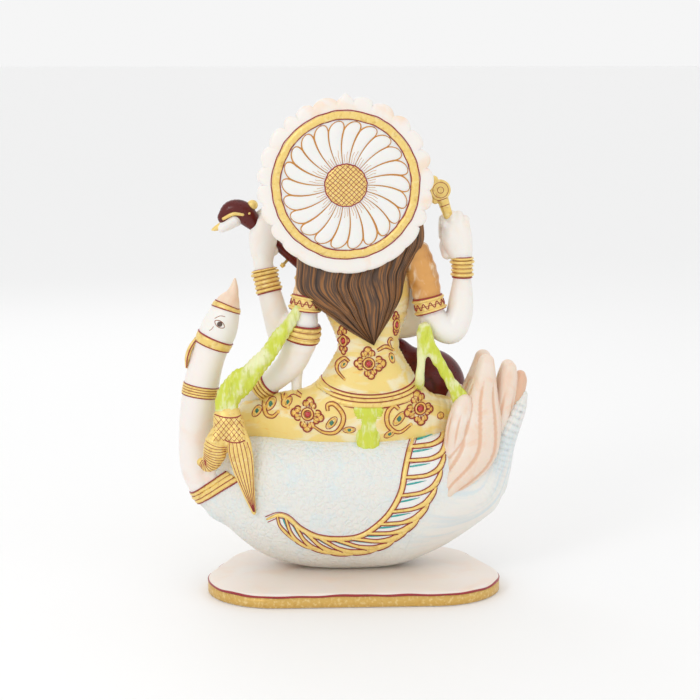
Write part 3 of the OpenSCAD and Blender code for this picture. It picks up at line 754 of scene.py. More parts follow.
def swan_trunk(p):
    x = np.clip(p[:, 0], BODY_FINE[0, 0], BODY_FINE[-1, 0])
    low, high, share = [np.interp(x, BODY_FINE[:, 0], BODY_FINE[:, i]) for i in (1, 2, 3)]
    hz, hy = (high - low) / 2, BODY_DEPTH * share
    across, up = np.abs(p[:, 1] - SWAN_Y) / hy, np.abs(p[:, 2] - (low + high) / 2) / hz
    q = (across ** BODY_POWER + up ** BODY_POWER) ** (1 / BODY_POWER) - 1
    d = q * np.minimum(hy, hz)
    past = np.abs(p[:, 0] - x)
    return np.where(past > 0, np.hypot(np.maximum(d, 0), past), d)


def swan_whole(p):
    d = smooth_min(swan_trunk(p), neck(p), 10)
    return smooth_min(d, tail(p), 9)


def neck_side(p):
    """Above zero on the neck's side of the collar."""
    s = (p[:, 0] - 83) * 0.535 + (p[:, 2] - 64) * 0.845
    return np.minimum(s, 4.5 - neck(p))


def tail_side(p):
    return -((p[:, 0] + 53) * 0.95 + (p[:, 2] - 90) * 0.31)


def down_paint():
    """Painted values of body and tail: pale underside, tail wash and its streak lanes."""
    def wash(v):
        edge = (v[:, 0] + 44) * 0.80 + (v[:, 2] - 46) * 0.60
        return np.clip(0.5 - edge / 22, 0, 1)

    return {"low": lambda v: np.clip((30 - v[:, 2]) / 20, 0, 1), "tail": wash,
            "across": lambda v: (tail.angle(v)[0] * 2 - 1) * 0.8, "along": lambda v: tail.angle(v)[1]}


def make_swan():
    body = lambda p: np.maximum(np.maximum(swan_whole(p), np.maximum(neck_side(p), tail_side(p))),
                                PLINTH_TOP[2] - 1.5 - p[:, 2])
    carve("swan_trunk", body, (-95, -53, 4), (92, 27, 99), 1.25, DOWN, "swan_blue_white", ["swan_body"],
          paint=down_paint())

    def tail_cast(p):
        s = tail_side(p)
        tucked = swan_whole(p) + 0.15 * np.clip((0.8 - s) / 1.3, 0, 1)
        return np.maximum(np.maximum(tucked, -s - 3), PLINTH_TOP[2] - 1.5 - p[:, 2])
    carve("swan_tail_base", tail_cast,
          (-112, -53, 4), (-20, 27, 120), 1.1, DOWN, "swan_blue_white", ["tail_sweep"], paint=down_paint())
    top = 7 * neck.per_span
    split = lambda p, s: (p - neck.c[s]) @ neck.t[s]
    carve("swan_neck_shaft", lambda p: np.maximum(np.maximum(swan_whole(p), -neck_side(p)), split(p, top)),
          (68, -30, 48), (110, 2, 153), 1.0, NECK_BLUSH, "ivory_marble", ["swan_neck"])
    beak = 10 * neck.per_span
    brow = lambda p: smooth_min(neck(p), np.minimum(egg(p, (80.5, SWAN_Y + 7.6, 161), (4.5, 3, 5), 20),
                                                    egg(p, (80.5, SWAN_Y - 7.6, 161), (4.5, 3, 5), 20)), 3)
    carve("swan_skull", lambda p: np.maximum(np.maximum(brow(p), -split(p, top)), split(p, beak)),
          (62, -30, 142), (102, 2, 178), 0.7, IVORY, "ivory_marble", ["swan_head"])
    carve("swan_bill", lambda p: np.maximum(neck(p), -split(p, beak)), (62, -28, 168), (88, 0, 190), 0.6,
          BEAK, "beak_orange", ["swan_beak"])


def make_swan_trim():
    shaft = Skin("swan_neck_shaft", "swan_skull", "swan_bill")
    rays = round_limb(neck)
    turn = np.linspace(0, 1, 72, endpoint=False)
    gold_rings, wine_rings = Trim(shaft, rays), Trim(shaft, rays)

    def ring(place, half_mm, rise, trim, wave=0.0, phase=0.0):
        i = int(min(place, len(neck.c) / neck.per_span - 1.3))
        span = np.linalg.norm(neck.c[(i + 1) * neck.per_span] - neck.c[i * neck.per_span])
        at = place + wave * np.sin(turn * 2 * math.pi + phase)
        hit_line(trim, np.column_stack([turn, at]), half_mm / span, rise)

    def hit_line(trim, line, half, rise):
        steps = np.array([-1, -0.6, 0, 0.6, 1.0])
        uv = (line[:, None, :] + np.array([0, 1.0])[None, None, :]
              * (half * steps)[None, :, None]).reshape(-1, 2)
        hit, nor = shaft.cast(*rays(uv))
        hit, nor = hit.reshape(len(line), 5, 3), nor.reshape(len(line), 5, 3)
        mid = nor.mean(1)
        mid /= np.linalg.norm(mid, axis=1)[:, None]
        top = hit + mid[:, None] * (rise * np.array([0.25, 0.9, 1, 0.9, 0.25]))[None, :, None]
        rings = np.concatenate([top, hit[:, [-1, 0]] - mid[:, None] * 0.5], 1)
        rings = rings[np.isfinite(rings).all((1, 2))]
        trim.add(*ring_loft(rings, closed=True))

    for place in (4.42, 4.51, 4.6, 4.69):
        ring(place, 0.72, 0.75, gold_rings)
    for place in (4.36, 4.465, 4.555, 4.645, 4.75):
        ring(place, 0.26, 0.5, wine_rings)
    ring(7.05, 2.6, 0.9, gold_rings, 0.04)
    for off in (-0.31, 0.33):
        ring(7.05 + off, 0.4, 0.75, wine_rings, 0.04)
    ring(9.75, 1.7, 0.7, gold_rings, 0.12, 3.1)
    for off in (-0.2, 0.24):
        ring(9.75 + off, 0.34, 0.65, wine_rings, 0.12, 3.1)
    gold_rings.piece("swan_neck_rings", GOLD, stands_for=["swan_neck_bands"])
    wine_rings.piece("swan_neck_lines", WINE, "wine_red")

    eye_c = np.array([80.6, 162.0])
    for side, word in ((1, "back"), (-1, "front")):
        rays2 = from_side(side)
        a = turns(40)
        tilt = math.radians(35)
        almond = np.column_stack([3.4 * np.cos(a), 1.9 * np.sin(a) * (1 - 0.25 * np.cos(a) ** 2)])
        turned = almond @ np.array([[math.cos(tilt), math.sin(tilt)], [-math.sin(tilt), math.cos(tilt)]])
        lines = Trim(shaft, rays2)
        lines.ribbon(eye_c + turned, 0.28, 0.3, closed=True)
        lines.ribbon(bezier([(77.2, 166.4), (80.2, 166.9), (83.6, 165.4)]), 0.22, 0.25)
        lines.ribbon(bezier([(84.2, 160.6), (85.8, 158.7), (87.0, 158.0)]), 0.2, 0.25)
        lines.piece("swan_eye_line_" + word, BROWN_LINE, "eye_dark")
        hit, nor = shaft.cast(*rays2(eye_c[None, :]))
        ball(f"swan_eye_{word}", hit[0] - nor[0] * 0.35, (1.7, 1.0, 1.7), DARK_EYE, "eye_dark",
             ["swan_eyes"] if side > 0 else [])


def ball(name, centre, radii, material, slot, stands_for=(), rings=12, around=20):
    """A plain ellipsoid piece."""
    lat = np.linspace(0.06, math.pi - 0.06, rings)
    lon = turns(around)
    loops = [np.column_stack([np.sin(t) * np.cos(lon), np.sin(t) * np.sin(lon),
                              np.full(around, -math.cos(t))])
             * radii + centre for t in lat]
    mesh_piece(name, *ring_loft(loops), material, slot, stands_for)


PLUMES = {
    "root": [(-54, 27, 52, 1.6, 5), (-57, 26, 60, 5, 7), (-61, 24.5, 67, 9, 8.5), (-66.5, 22, 75, 13, 10),
             (-73, 18, 86, 16, 11.5), (-76.5, 14.5, 101, 14.5, 11.5), (-79, 12, 114, 10.5, 9.5),
             (-81, 10, 128, 7, 7), (-82, 9, 137, 5, 5)],
    "lobe": [(-60, 23, 82, 6, 5), (-63.5, 21.5, 97, 7.5, 6.5), (-66.5, 19, 109, 7, 6),
             (-67.5, 18, 114, 5, 5)],
    "fan": [(-84, 6, 80, 5, 9), (-92, 5, 104, 6.5, 9), (-96, 4, 124, 6, 7), (-97, 4, 132, 4.4, 5.4)],
    "tip": [(-90, 0, 84, 4, 8), (-99, 0, 108, 5.4, 8), (-103.5, 0, 122, 5, 6.5), (-104.5, 0, 127, 3.4, 5)],
}


def make_plumes():
    """Carved plumes at the swan's tail: grooves run along each plume and carry darker painted shade."""
    limbs = [Limb([(x, SWAN_Y + side * off, z, w, d) for x, off, z, w, d in line])
             for line in PLUMES.values() for side in (-1, 1)]
    plume = union(*limbs, k=1.6)

    def groove(p):
        depth = np.stack([limb(p) for limb in limbs])
        near = depth.argmin(0)
        out = np.zeros(len(p))
        for i, limb in enumerate(limbs):
            own = near == i
            if own.any():
                turn, place = limb.angle(p[own])
                ends = np.clip(np.minimum(place, len(limb.c) / limb.per_span - 1.2 - place) * 1.4, 0, 1)
                wave = np.sin(turn * 2 * math.pi * 7 + np.sin(place * 1.3) * 1.5)
                out[own] = np.clip(wave - 0.25, 0, 1) / 0.75 * ends
        seams = np.sort(depth, axis=0)[:2]
        return np.maximum(out, np.clip(1 - (seams[1] - seams[0]) / 1.2, 0, 1))
    field = lambda p: np.maximum(plume(p) + 0.55 * groove(p), -(swan_whole(p) + 2.5))
    # the groove values also tell the peach material where to paint shade in the hollows
    carve("tail_plume_cluster", field, (-114, -54, 42), (-46, 26, 148), 0.85, PEACH, "peach",
          ["tail_plumes"],
          {"groove": groove})


# ---------------------------------------------------------------- wing bands

SPINE = [(-37.2, 93.4), (-33.7, 86.3), (-30.7, 76.1), (-27.8, 62.7), (-21.2, 50.4), (-12.2, 41.2),
         (-2.1, 35.1),
         (11, 33.8), (23.1, 35.5), (33.2, 40.8), (40.2, 47.1), (46.2, 48.7), (53.2, 45.7)]
OUTER = [(-56.9, 98.9), (-56.5, 88.7), (-54.6, 78.4), (-50.6, 66.1), (-44.7, 53.8), (-36.6, 42.5),
         (-27.5, 34.3),
         (-15.4, 26.1), (2.8, 22.7), (19, 24.5), (33.2, 29.9), (43.2, 38.3), (52.2, 43.6)]


def make_wing(side, word, node):
    """The feathered band of one wing: white ground, gold ribs from a gold spine, teal barbs."""
    trunk = Skin("swan_trunk", "swan_tail_base")
    rays = from_side(side)
    spine, outer = catmull(SPINE, 12), catmull(OUTER, 12)
    n = 66
    param = np.linspace(0, 1, n)
    pick = lambda line, t: np.stack([np.interp(t, np.linspace(0, 1, len(line)),
                                               line[:, i]) for i in (0, 1)], -1)
    across = np.linspace(0, 1, 11)
    uv = (pick(spine, param)[:, None] * (1 - across[None, :, None])
          + pick(outer, param)[:, None] * across[None, :, None]).reshape(-1, 2)
    hit, nor = trunk.cast(*rays(uv))
    ok = np.isfinite(hit).all(1).reshape(n, 11)
    hit, nor = hit.reshape(n, 11, 3), nor.reshape(n, 11, 3)
    keep = ok.all(1)
    hit, nor = hit[keep], nor[keep]
    lift = 0.35 + 0.5 * np.sin(across * math.pi)
    top = hit + nor * lift[None, :, None]
    rings = np.concatenate([top, (hit - nor * 0.5)[:, ::-1]], 1)
    mesh_piece(f"{word}_wing_ground", *ring_loft(rings), PETAL_WHITE, "ivory_marble", [node])

    skin = Skin(f"{word}_wing_ground", "swan_trunk", "swan_tail_base")
    ribs, lines, barbs = Trim(skin, rays), Trim(skin, rays), Trim(skin, rays)
    stem = spine[::2]
    ribs.ribbon(stem, np.interp(np.linspace(0, 1, len(stem)), [0, 0.1, 0.9, 1], [0.7, 1.6, 1.35, 0.6]), 1.0)
    for s in (-1, 1):
        lines.ribbon(shifted(stem, s * 1.72), 0.3, 0.55)
    count = 15
    across_at = lambda t, share: (pick(spine, np.array([max(t, 0.0)]))[0] * (1 - share)
                                  + pick(outer, np.array([max(t, 0.0)]))[0] * share)
    for i in range(count):
        a = 0.066 * i
        if i:
            knots = [(a, 0.0), (a + 0.004, 0.3), (a + 0.004, 0.62), (a - 0.012, 0.87), (a - 0.042, 0.95),
                     (a - 0.072, 0.965)]
        else:
            knots = [(0.0, 0.0), (0.0, 0.5), (0.0, 1.0)]
        line = bezier([across_at(*k) for k in knots], 26)
        t = np.linspace(0, 1, len(line))
        bulge = np.interp(i, [0, 4, 7, 11, 14], [0.0, 0.35, 0.9, 0.7, 0.2])
        width = np.interp(t, [0, 0.12, 0.4, 0.66, 0.88, 1],
                          [0.8, 1.0, 1.1, 1.4 + bulge, 1.15 + bulge * 0.5, 0.6])
        width *= np.interp(i, [0, 11, 14], [1, 1, 0.6])
        ribs.ribbon(line, width, 0.95)
        for s in (-1, 1):
            lines.ribbon(shifted(line, s * (width + 0.16)), 0.27, 0.55)
        if i < count - 1:
            share = np.linspace(0.1, 0.62, 10)
            barb = np.array([across_at(a + 0.028 - 0.006 * q, q) for q in share])
            barbs.ribbon(barb, 0.62 * np.sin(np.linspace(0.25, 1.0, 10) * math.pi) + 0.05, 0.32)
            share = np.linspace(0.08, 0.8, 12)
            barb = np.array([across_at(a + 0.016 - 0.008 * q, q) for q in share])
            lines.ribbon(barb, 0.13, 0.25)
    ribs.piece(f"{word}_wing_ribs", GOLD)
    lines.piece(f"{word}_wing_lines", WINE, "wine_red")
    barbs.piece(f"{word}_wing_barbs", TEAL_STROKE, "swan_blue_white")


# ---------------------------------------------------------------- figure: skirt, legs, torso

torso = Limb([(-10, FIGURE_Y, 108, 36, 21.5), (-10, FIGURE_Y, 116, 34.4, 20.4),
              (-10, FIGURE_Y, 123, 31.2, 18.8),
              (-10, FIGURE_Y, 132, 26, 16.4), (-10, FIGURE_Y, 141.5, 20.8, 14),
              (-10, FIGURE_Y, 150, 18.7, 13.3),
              (-9.5, FIGURE_Y - 1, 158, 21, 14.5),
              (-9, FIGURE_Y - 3, 172, 26, 17), (-7, FIGURE_Y - 2, 186, 29, 15.5),
              (-5, FIGURE_Y, 198, 31, 12.5),
              (-3, FIGURE_Y, 206, 23, 10.5), (0, FIGURE_Y, 212, 11, 9)])
hips = Limb([(-60, FIGURE_Y - 4, 97, 14, 9), (-40, FIGURE_Y, 99, 20, 16), (-10, FIGURE_Y, 101, 24, 19.5),
             (20, FIGURE_Y, 100, 22, 18.5), (42, FIGURE_Y - 3, 99, 19, 15), (60, FIGURE_Y - 7, 97, 13, 10)])
left_shin = Limb([(60, -22, 100, 10.5, 12), (50, -32, 101, 11, 12.5), (36, -41, 102, 10.8, 11.5),
                  (16, -48, 101, 9, 9.5), (-6, -51, 99, 6.5, 7)], up=(0, 0, 1))
right_shin = Limb([(-60, -22, 100, 10.5, 12), (-52, -30, 101, 11, 12), (-40, -36, 101, 10, 10.5),
                   (-22, -43, 97, 8, 8.5)], up=(0, 0, 1))
BELT_RADII = (32.0, 19.5)
BELT_SIDES, BELT_DIPS = 124.5, (8.9, 2.5)      # height at the sides, fall to the back and to the front


def belt_height(x, y):
    """Height of the belt's middle: low at the back, high at the sides."""
    s = np.sin(np.arctan2((y - FIGURE_Y) / BELT_RADII[1], (x - WAIST_X) / BELT_RADII[0]))
    return BELT_SIDES - np.where(s > 0, BELT_DIPS[0] * np.abs(s) ** 1.5, BELT_DIPS[1] * np.abs(s))


def figure_whole(p):
    bust = [egg(p, (WAIST_X + 1 + s * 10, FIGURE_Y - 15.5, 181), (9.5, 8, 9)) for s in (-1, 1)]
    d = smooth_min(torso(p), np.minimum(*bust), 5)
    d = smooth_min(d, hips(p), 8)
    return smooth_min(d, np.minimum(left_shin(p), right_shin(p)), 7)


def make_figure():
    above = lambda p: belt_height(p[:, 0], p[:, 1]) - p[:, 2]
    carve("torso_cast", lambda p: np.maximum(figure_whole(p), above(p)), (-45, -38, 108), (30, 14, 215),
          0.9,
          SARI, "sari_yellow", ["torso"])
    front = lambda p: p[:, 1] + 25
    carve("skirt_drape", lambda p: np.maximum(np.maximum(figure_whole(p), -above(p)), -front(p)),
          (-82, -27, 68), (76, 16, 130), 1.0, SARI, "sari_yellow", ["skirt"])
    carve("crossed_legs", lambda p: np.maximum(np.maximum(figure_whole(p), -above(p)), front(p)),
          (-76, -64, 76), (76, -22, 130), 1.0, SARI, "sari_yellow", ["folded_legs"])
    pleat = Limb([(-2, -52, 100, 8, 4), (-2.5, -55, 90, 11, 4), (-3.5, -57, 76, 15, 3.6),
                  (-4, -57, 62, 18, 3)])

    def pleats(p):
        turn = np.clip((p[:, 0] + 3) / 20, -1, 1)
        return pleat(p) - 0.7 * np.abs(np.sin(turn * 9 * math.pi / 2 + 0.15 * (p[:, 2] - 62) / 10))
    carve("front_pleats", lambda p: np.maximum(pleats(p), 59 + 1.5 * np.cos(p[:, 0] / 3.2) - p[:, 2]),
          (-28, -66, 56), (22, -46, 106), 0.8, SARI, "sari_yellow", ["skirt_pleats"])


def make_feet():
    def foot(line, toes):
        sole = Limb(line, up=(0, 1, 0))
        tips = [Limb(t) for t in toes]
        return union(sole, *tips, k=1.2)
    left = foot([(-8, -53, 98, 4.6, 5), (-18, -56, 94.5, 4.6, 4.2), (-26, -57, 90.5, 4.8, 3),
                 (-29, -57, 89, 3.6, 2.4)],
                [[(-27 + 0.5 * i, -57, 93.6 - i * 2.0, 1.4, 1.3),
                  (-33.2 + 0.8 * i, -57.5, 91 - i * 1.9, 1.3, 1.2)]
                 for i in range(5)])
    right = foot([(14, -47, 100, 5, 5), (23, -50, 95, 4.8, 4.6), (31, -51, 91, 4.8, 3.6),
                  (35, -50, 88.6, 4, 2.8)],
                 [[(34 - 0.3 * i, -50.5, 91.6 - i * 1.9, 1.4, 1.3),
                   (39.4 - 0.8 * i, -49.5, 89.2 - i * 1.9, 1.3, 1.2)]
                  for i in range(5)])
    field = lambda p: np.minimum(left(p), right(p))
    carve("bare_feet", field, (-38, -66, 70), (44, -36, 110), 0.5, IVORY, "ivory_marble", ["feet"])


def make_belt():
    """Three gold bands round the waist with maroon lines between them."""
    a = turns(150)
    z = belt_height(WAIST_X + BELT_RADII[0] * np.cos(a), FIGURE_Y + BELT_RADII[1] * np.sin(a))
    heights = torso.c[:, 2]

    def band(trim, offset, half, rise):
        loops = []
        for step, h in ((-1, 0.3), (-0.6, 0.88), (0, 1.0), (0.6, 0.88), (1, 0.3), (0.9, -1.4),
                        (-0.9, -1.4)):
            at = z + offset + step * half
            rx, ry = [np.interp(at, heights, torso.r[:, i]) + 0.55 + rise * h for i in (0, 1)]
            loops.append(np.column_stack([WAIST_X + rx * np.cos(a), FIGURE_Y + ry * np.sin(a), at]))
        trim.add(*ring_loft(loops, closed=True))

    gold_bands, wine_lines = Trim(), Trim()
    for offset, half, rise in ((3.4, 0.85, 1.1), (1.2, 1.1, 1.5), (-1.8, 1.75, 1.3)):
        band(gold_bands, offset, half, rise)
    for offset in (4.5, 2.35, 0.0, -3.75):
        band(wine_lines, offset, 0.32, 0.9)
    gold_bands.piece("belt_bands", GOLD, stands_for=["belt"])
    wine_lines.piece("belt_lines", WINE, "wine_red")


# ---------------------------------------------------------------- painted flowers and scrolls

def make_ornament():
    """Gold flowers and scrolls with maroon outlines and small gems, on skirt and torso."""
    skin = Skin("torso_cast", "skirt_drape")
    rays = from_side(1)
    gold_t, wine_t = Trim(skin, rays), Trim(skin, rays)
    red, green = Trim(skin, rays), Trim(skin, rays)

    def dot(trim, centre, radius, rise, squeeze=1.0):
        n = 18
        a = turns(n)
        uv = [np.array(centre)]
        for r in (0.45, 0.8, 1.0):
            uv += [np.array(centre) + radius * r * np.array([math.cos(t) * squeeze, math.sin(t)]) for t in a]
        hit, nor = skin.cast(*rays(np.array(uv)))
        if not np.isfinite(hit).all():
            return
        low = -0.35 / max(rise, 0.1)
        height = rise * np.concatenate([[1], np.full(n, 0.9), np.full(n, 0.55), np.full(n, low)])
        mid = nor.mean(0) / np.linalg.norm(nor.mean(0))
        f = [[0, 1 + i, 1 + (i + 1) % n] for i in range(n)]
        for o in (1, 1 + n):
            f += [[o + i, o + n + i, o + n + (i + 1) % n, o + (i + 1) % n] for i in range(n)]
        f.append([1 + 2 * n + i for i in range(n)][::-1])
        trim.add(hit + mid * height[:, None], f)

    def flower(centre, tips, squeeze=1.0):
        c = np.array(centre, float)
        for tip in tips:
            d = (np.array(tip) - c)
            reach = np.linalg.norm(d) / 0.74
            d = d / np.linalg.norm(d)
            side = np.array([-d[1], d[0]])
            sq = np.array([squeeze, 1.0])
            for turn, size, away in ((0, 0.235, 0.76), (0.36, 0.19, 0.62), (-0.36, 0.19, 0.62)):
                way = d * math.cos(turn) + side * math.sin(turn)
                lobe = c + way * reach * away * sq
                dot(gold_t, lobe, reach * size, 0.75, squeeze)
                a = np.linspace(-2.1, 2.1, 15)
                heading = math.atan2(way[1], way[0])
                arc = np.column_stack([np.cos(heading + a) * squeeze, np.sin(heading + a)])
                wine_t.ribbon(lobe + reach * size * 1.06 * arc, 0.36, 0.8)
                wine_t.ribbon(np.linspace(c + way * reach * 0.42 * sq, c + way * reach * 0.72 * sq, 6), 0.2,
                              0.95)
        a = turns(28)
        circle = np.column_stack([np.cos(a) * squeeze, np.sin(a)])
        gold_t.ribbon(c + circle * 2.9, 0.7, 1.05, closed=True)
        wine_t.ribbon(c + circle * 3.7, 0.3, 0.9, closed=True)
        wine_t.ribbon(c + circle * 2.15, 0.22, 0.7, closed=True)
        dot(red, c, 1.95, 1.3, squeeze)

    def scroll(points, gem=None, gem_size=1.5, width=1.15):
        line = bezier(points, 34)
        t = np.linspace(0, 1, len(line))
        w = width * (0.45 + 0.65 * np.sin(np.clip(t * 0.9 + 0.1, 0, 1) * math.pi))
        gold_t.ribbon(line, w, 0.75)
        for s in (-1, 1):
            wine_t.ribbon(shifted(line, s * (w + 0.14)), 0.26, 0.5)
        dot(gold_t, line[-1], width * 1.05, 0.85)
        if gem:
            leaf(gem, gem_size)

    def leaf(centre, size=1.5, tilt=0.7):
        a = turns(20)
        shape = np.column_stack([size * 0.62 * np.cos(a), size * 1.25 * np.sin(a)])
        turn = np.array([[math.cos(tilt), math.sin(tilt)], [-math.sin(tilt), math.cos(tilt)]])
        gold_t.ribbon(np.array(centre) + shape @ turn * 1.35, 0.6, 0.7, closed=True)
        wine_t.ribbon(np.array(centre) + shape @ turn * 1.95, 0.24, 0.45, closed=True)
        dot(green, centre, size * 1.0, 0.6, 0.75)

    flower((27.8, 107.7), [(26.3, 114.6), (35.3, 108.2), (28.1, 99.8), (20.7, 105.9)])
    flower((-40.7, 110.3), [(-38.9, 117.8), (-33.3, 108.6), (-41.1, 102.9), (-46.7, 109.4)])
    flower((-9.3, 138.2), [(-8.8, 145.7), (-2.8, 138.3), (-10.6, 131.6), (-17.1, 138.2)])
    flower((5.6, 151.4), [(7.2, 158.4), (9.4, 151.5), (5.6, 145.2), (1.4, 151.8)], 0.62)
    flower((-26.4, 161.1), [(-25.6, 167.2), (-24.4, 162), (-25.6, 156.2), (-28.4, 160.4)], 0.55)
    scroll([(42.5, 115.2), (43.3, 118.7), (48.9, 118.7), (53.7, 112.7), (52.9, 106.5), (49, 105.2),
            (45.5, 108.2)],
           (50.0, 112.2), 1.9)
    scroll([(31.4, 117.6), (36.1, 119.4), (39.9, 117.7), (42.5, 112.9), (39.5, 111.1)], (39.6, 114.0), 1.5)
    leaf((58.4, 107.5), 1.7)
    scroll([(15.7, 110.1), (15.7, 113.6), (11.4, 114), (6.7, 108.3), (7.1, 102.2), (11.4, 97), (18.3, 97),
            (24.3, 100.6)], (13.5, 103.0), 1.9)
    leaf((2.8, 98.8), 1.6, 1.5)
    scroll([(-27.4, 111), (-24, 113.3), (-20.1, 108.5), (-21, 101), (-27.5, 96.6), (-34.8, 101.3)],
           (-27.5, 105.2), 2.1)
    leaf((-21.8, 95.8), 1.6, 1.0)
    a = turns(20)
    gold_t.ribbon(np.array([-53.6, 105]) + 1.1 * np.column_stack([np.cos(a), np.sin(a)]), 0.7, 0.7,
                  closed=True)
    wine_t.ribbon(np.array([-53.6, 105]) + 2.1 * np.column_stack([np.cos(a), np.sin(a)]), 0.2, 0.4,
                  closed=True)
    scroll([(2.3, 139.3), (5.4, 141.1), (9.3, 137.6), (9.3, 133.2), (5.4, 128.8)], (5.4, 137.4), 1.1, 0.8)
    scroll([(-14.6, 146), (-19.8, 148.2), (-24.8, 145.5)], None, 1, 0.9)
    leaf((-23.6, 141.1), 1.3, -0.3)
    scroll([(-22.9, 147.6), (-21.7, 150.7), (-22.8, 152.9), (-24.2, 151.6)], None, 1, 0.6)
    gold_t.piece("painted_scrolls", ORNAMENT_GOLD)
    wine_t.piece("scroll_outlines", WINE, "wine_red")
    red.piece("red_gems", RED_GEM, "wine_red")
    green.piece("green_gems", GREEN_GEM, "wine_red")


# ---------------------------------------------------------------- head, crown, hair

def make_head():
    cx, cy, cz = HEAD
    skull = lambda p: egg(p, (cx, cy + 1.5, cz + 5.5), (13, 14.5, 13.2))
    jaw = lambda p: egg(p, (cx, cy - 3.5, cz - 5.6), (9.6, 9.6, 12.4))
    chin = lambda p: egg(p, (cx, cy - 9.5, cz - 14.6), (3.6, 3.4, 2.8))
    nose = Limb([(cx, cy - 12.6, cz + 4.5, 1.2, 1.2), (cx, cy - 14.2, cz, 1.5, 1.5),
                 (cx, cy - 15.8, cz - 4.2, 2.2, 1.9)])
    eyes = lambda p: np.minimum(*[egg(p, (cx + s * 4.9, cy - 10.6, cz + 2.0),
                                      (3.5, 2.6, 2.1)) for s in (-1, 1)])
    wings = lambda p: np.minimum(*[egg(p, (cx + s * 1.9, cy - 14.3, cz - 4.6),
                                       (1.3, 1.6, 1.2)) for s in (-1, 1)])
    upper = lambda p: egg(p, (cx, cy - 12.4, cz - 8.7), (3.6, 1.9, 1.0))
    lower = lambda p: egg(p, (cx, cy - 12.1, cz - 10.5), (2.9, 1.9, 1.1))
    cheek = lambda p: np.minimum(*[egg(p, (cx + s * 5.6, cy - 8.6, cz - 4.6),
                                       (3.6, 3.4, 3.8)) for s in (-1, 1)])
    ears = lambda p: np.minimum(*[egg(p, (cx + s * 12.3, cy - 0.5, cz - 1),
                                      (1.8, 3.4, 5.4)) for s in (-1, 1)])

    def face(p):
        d = smooth_min(skull(p), jaw(p), 7)
        d = smooth_min(d, np.minimum(cheek(p), chin(p)), 3.5)
        d = smooth_min(d, eyes(p), 1.4)
        d = smooth_min(d, np.minimum(nose(p), wings(p)), 1.8)
        d = smooth_min(d, ears(p), 1.2)
        return smooth_min(d, smooth_min(upper(p), lower(p), 0.4), 0.7)
    carve("calm_face", face, (cx - 17, cy - 20, cz - 21), (cx + 17, cy + 19, cz + 22), 0.55, IVORY,
          "ivory_marble", ["head"])
    post = Limb([(0, FIGURE_Y, 206, 9.4, 8.6), (1.5, FIGURE_Y - 1, 215, 7.4, 7.4),
                 (3, FIGURE_Y - 1.5, 228, 8, 8)])
    carve("neck_cast", lambda p: np.maximum(post(p), p[:, 2] - 229), (-18, -34, 192), (20, 10, 233), 0.8,
          IVORY,
          "ivory_marble", ["neck"])
    skin = Skin("calm_face")
    rays = from_side(-1)
    dark, lips, white = Trim(skin, rays), Trim(skin, rays), Trim(skin, rays)
    for s in (-1, 1):
        brow = bezier([(cx + s * 1.9, cz + 6.0), (cx + s * 5.2, cz + 7.6), (cx + s * 8.6, cz + 6.2)])
        dark.ribbon(brow, 0.36 * np.sin(np.linspace(0.25, 0.95, len(brow)) * math.pi) + 0.06, 0.16)
        almond = np.linspace(-1, 1, 20)
        ex, ez = cx + s * 4.9, cz + 1.9
        white.ribbon(np.column_stack([ex + 2.7 * almond, np.full(20, ez)]),
                     1.05 * np.sqrt(np.maximum(1 - almond ** 2, 0)) + 0.02, 0.14, sink=0.1)
        lid = np.column_stack([ex + 3.0 * almond, ez + 1.25 * (1 - almond ** 2)])
        dark.ribbon(lid, 0.26, 0.32)
        dark.ribbon(np.column_stack([ex + 2.6 * almond, ez - 0.95 * (1 - almond ** 2)]), 0.1, 0.22)
        a = np.linspace(-1, 1, 9)
        dark.ribbon(np.column_stack([ex + 0.85 * a, np.full(9, ez + 0.1)]),
                    0.9 * np.sqrt(1 - a ** 2) + 0.02, 0.3)
    a = np.linspace(-1, 1, 24)
    lips.ribbon(np.column_stack([cx + 3.3 * a, cz - 8.8 + 0.25 * np.abs(a)]),
                0.62 * (1 - a ** 2) ** 0.6 + 0.03, 0.12, sink=0.1)
    lips.ribbon(np.column_stack([cx + 2.7 * a, cz - 10.3 + 0.5 * a ** 2]), 0.7 * (1 - a ** 2) ** 0.6 + 0.03,
                0.12,
                sink=0.1)
    lips.ribbon(np.column_stack([cx + 0.7 * a, np.full(24, cz + 9.4)]), 0.75 * np.sqrt(1 - a ** 2) + 0.02,
                0.3)
    white.piece("eye_whites", WHITE_EYE, "eye_dark")
    dark.piece("brows_and_lids", DARK_EYE, "eye_dark")
    lips.piece("lips_and_bindi", LIP, "wine_red")
    for s, word in ((-1, "right"), (1, "left")):
        ball(f"earring_{word}", HEAD + [s * 13.6, -1.5, -9.6], (2.1, 2.1, 4.6), GOLD, "gold_paint",
             ["earrings"] if s > 0 else [])
        ball(f"earring_{word}_gem", HEAD + [s * 13.6, -3.2, -9.2], (1.1, 0.9, 1.5), RED_GEM, "wine_red")


def revolve(name, centre, profile, around, material, slot, stands_for, wobble):
    """A wavy solid of revolution about an upright axis, closed at both ends of its profile."""
    a = turns(around)
    loops = []
    for r, z in profile:
        k = wobble(a, z)
        loops.append(np.column_stack([r * k * np.cos(a), r * k * np.sin(a), np.full(around, z)]) + centre)
    mesh_piece(name, *ring_loft(loops), material, slot, stands_for)


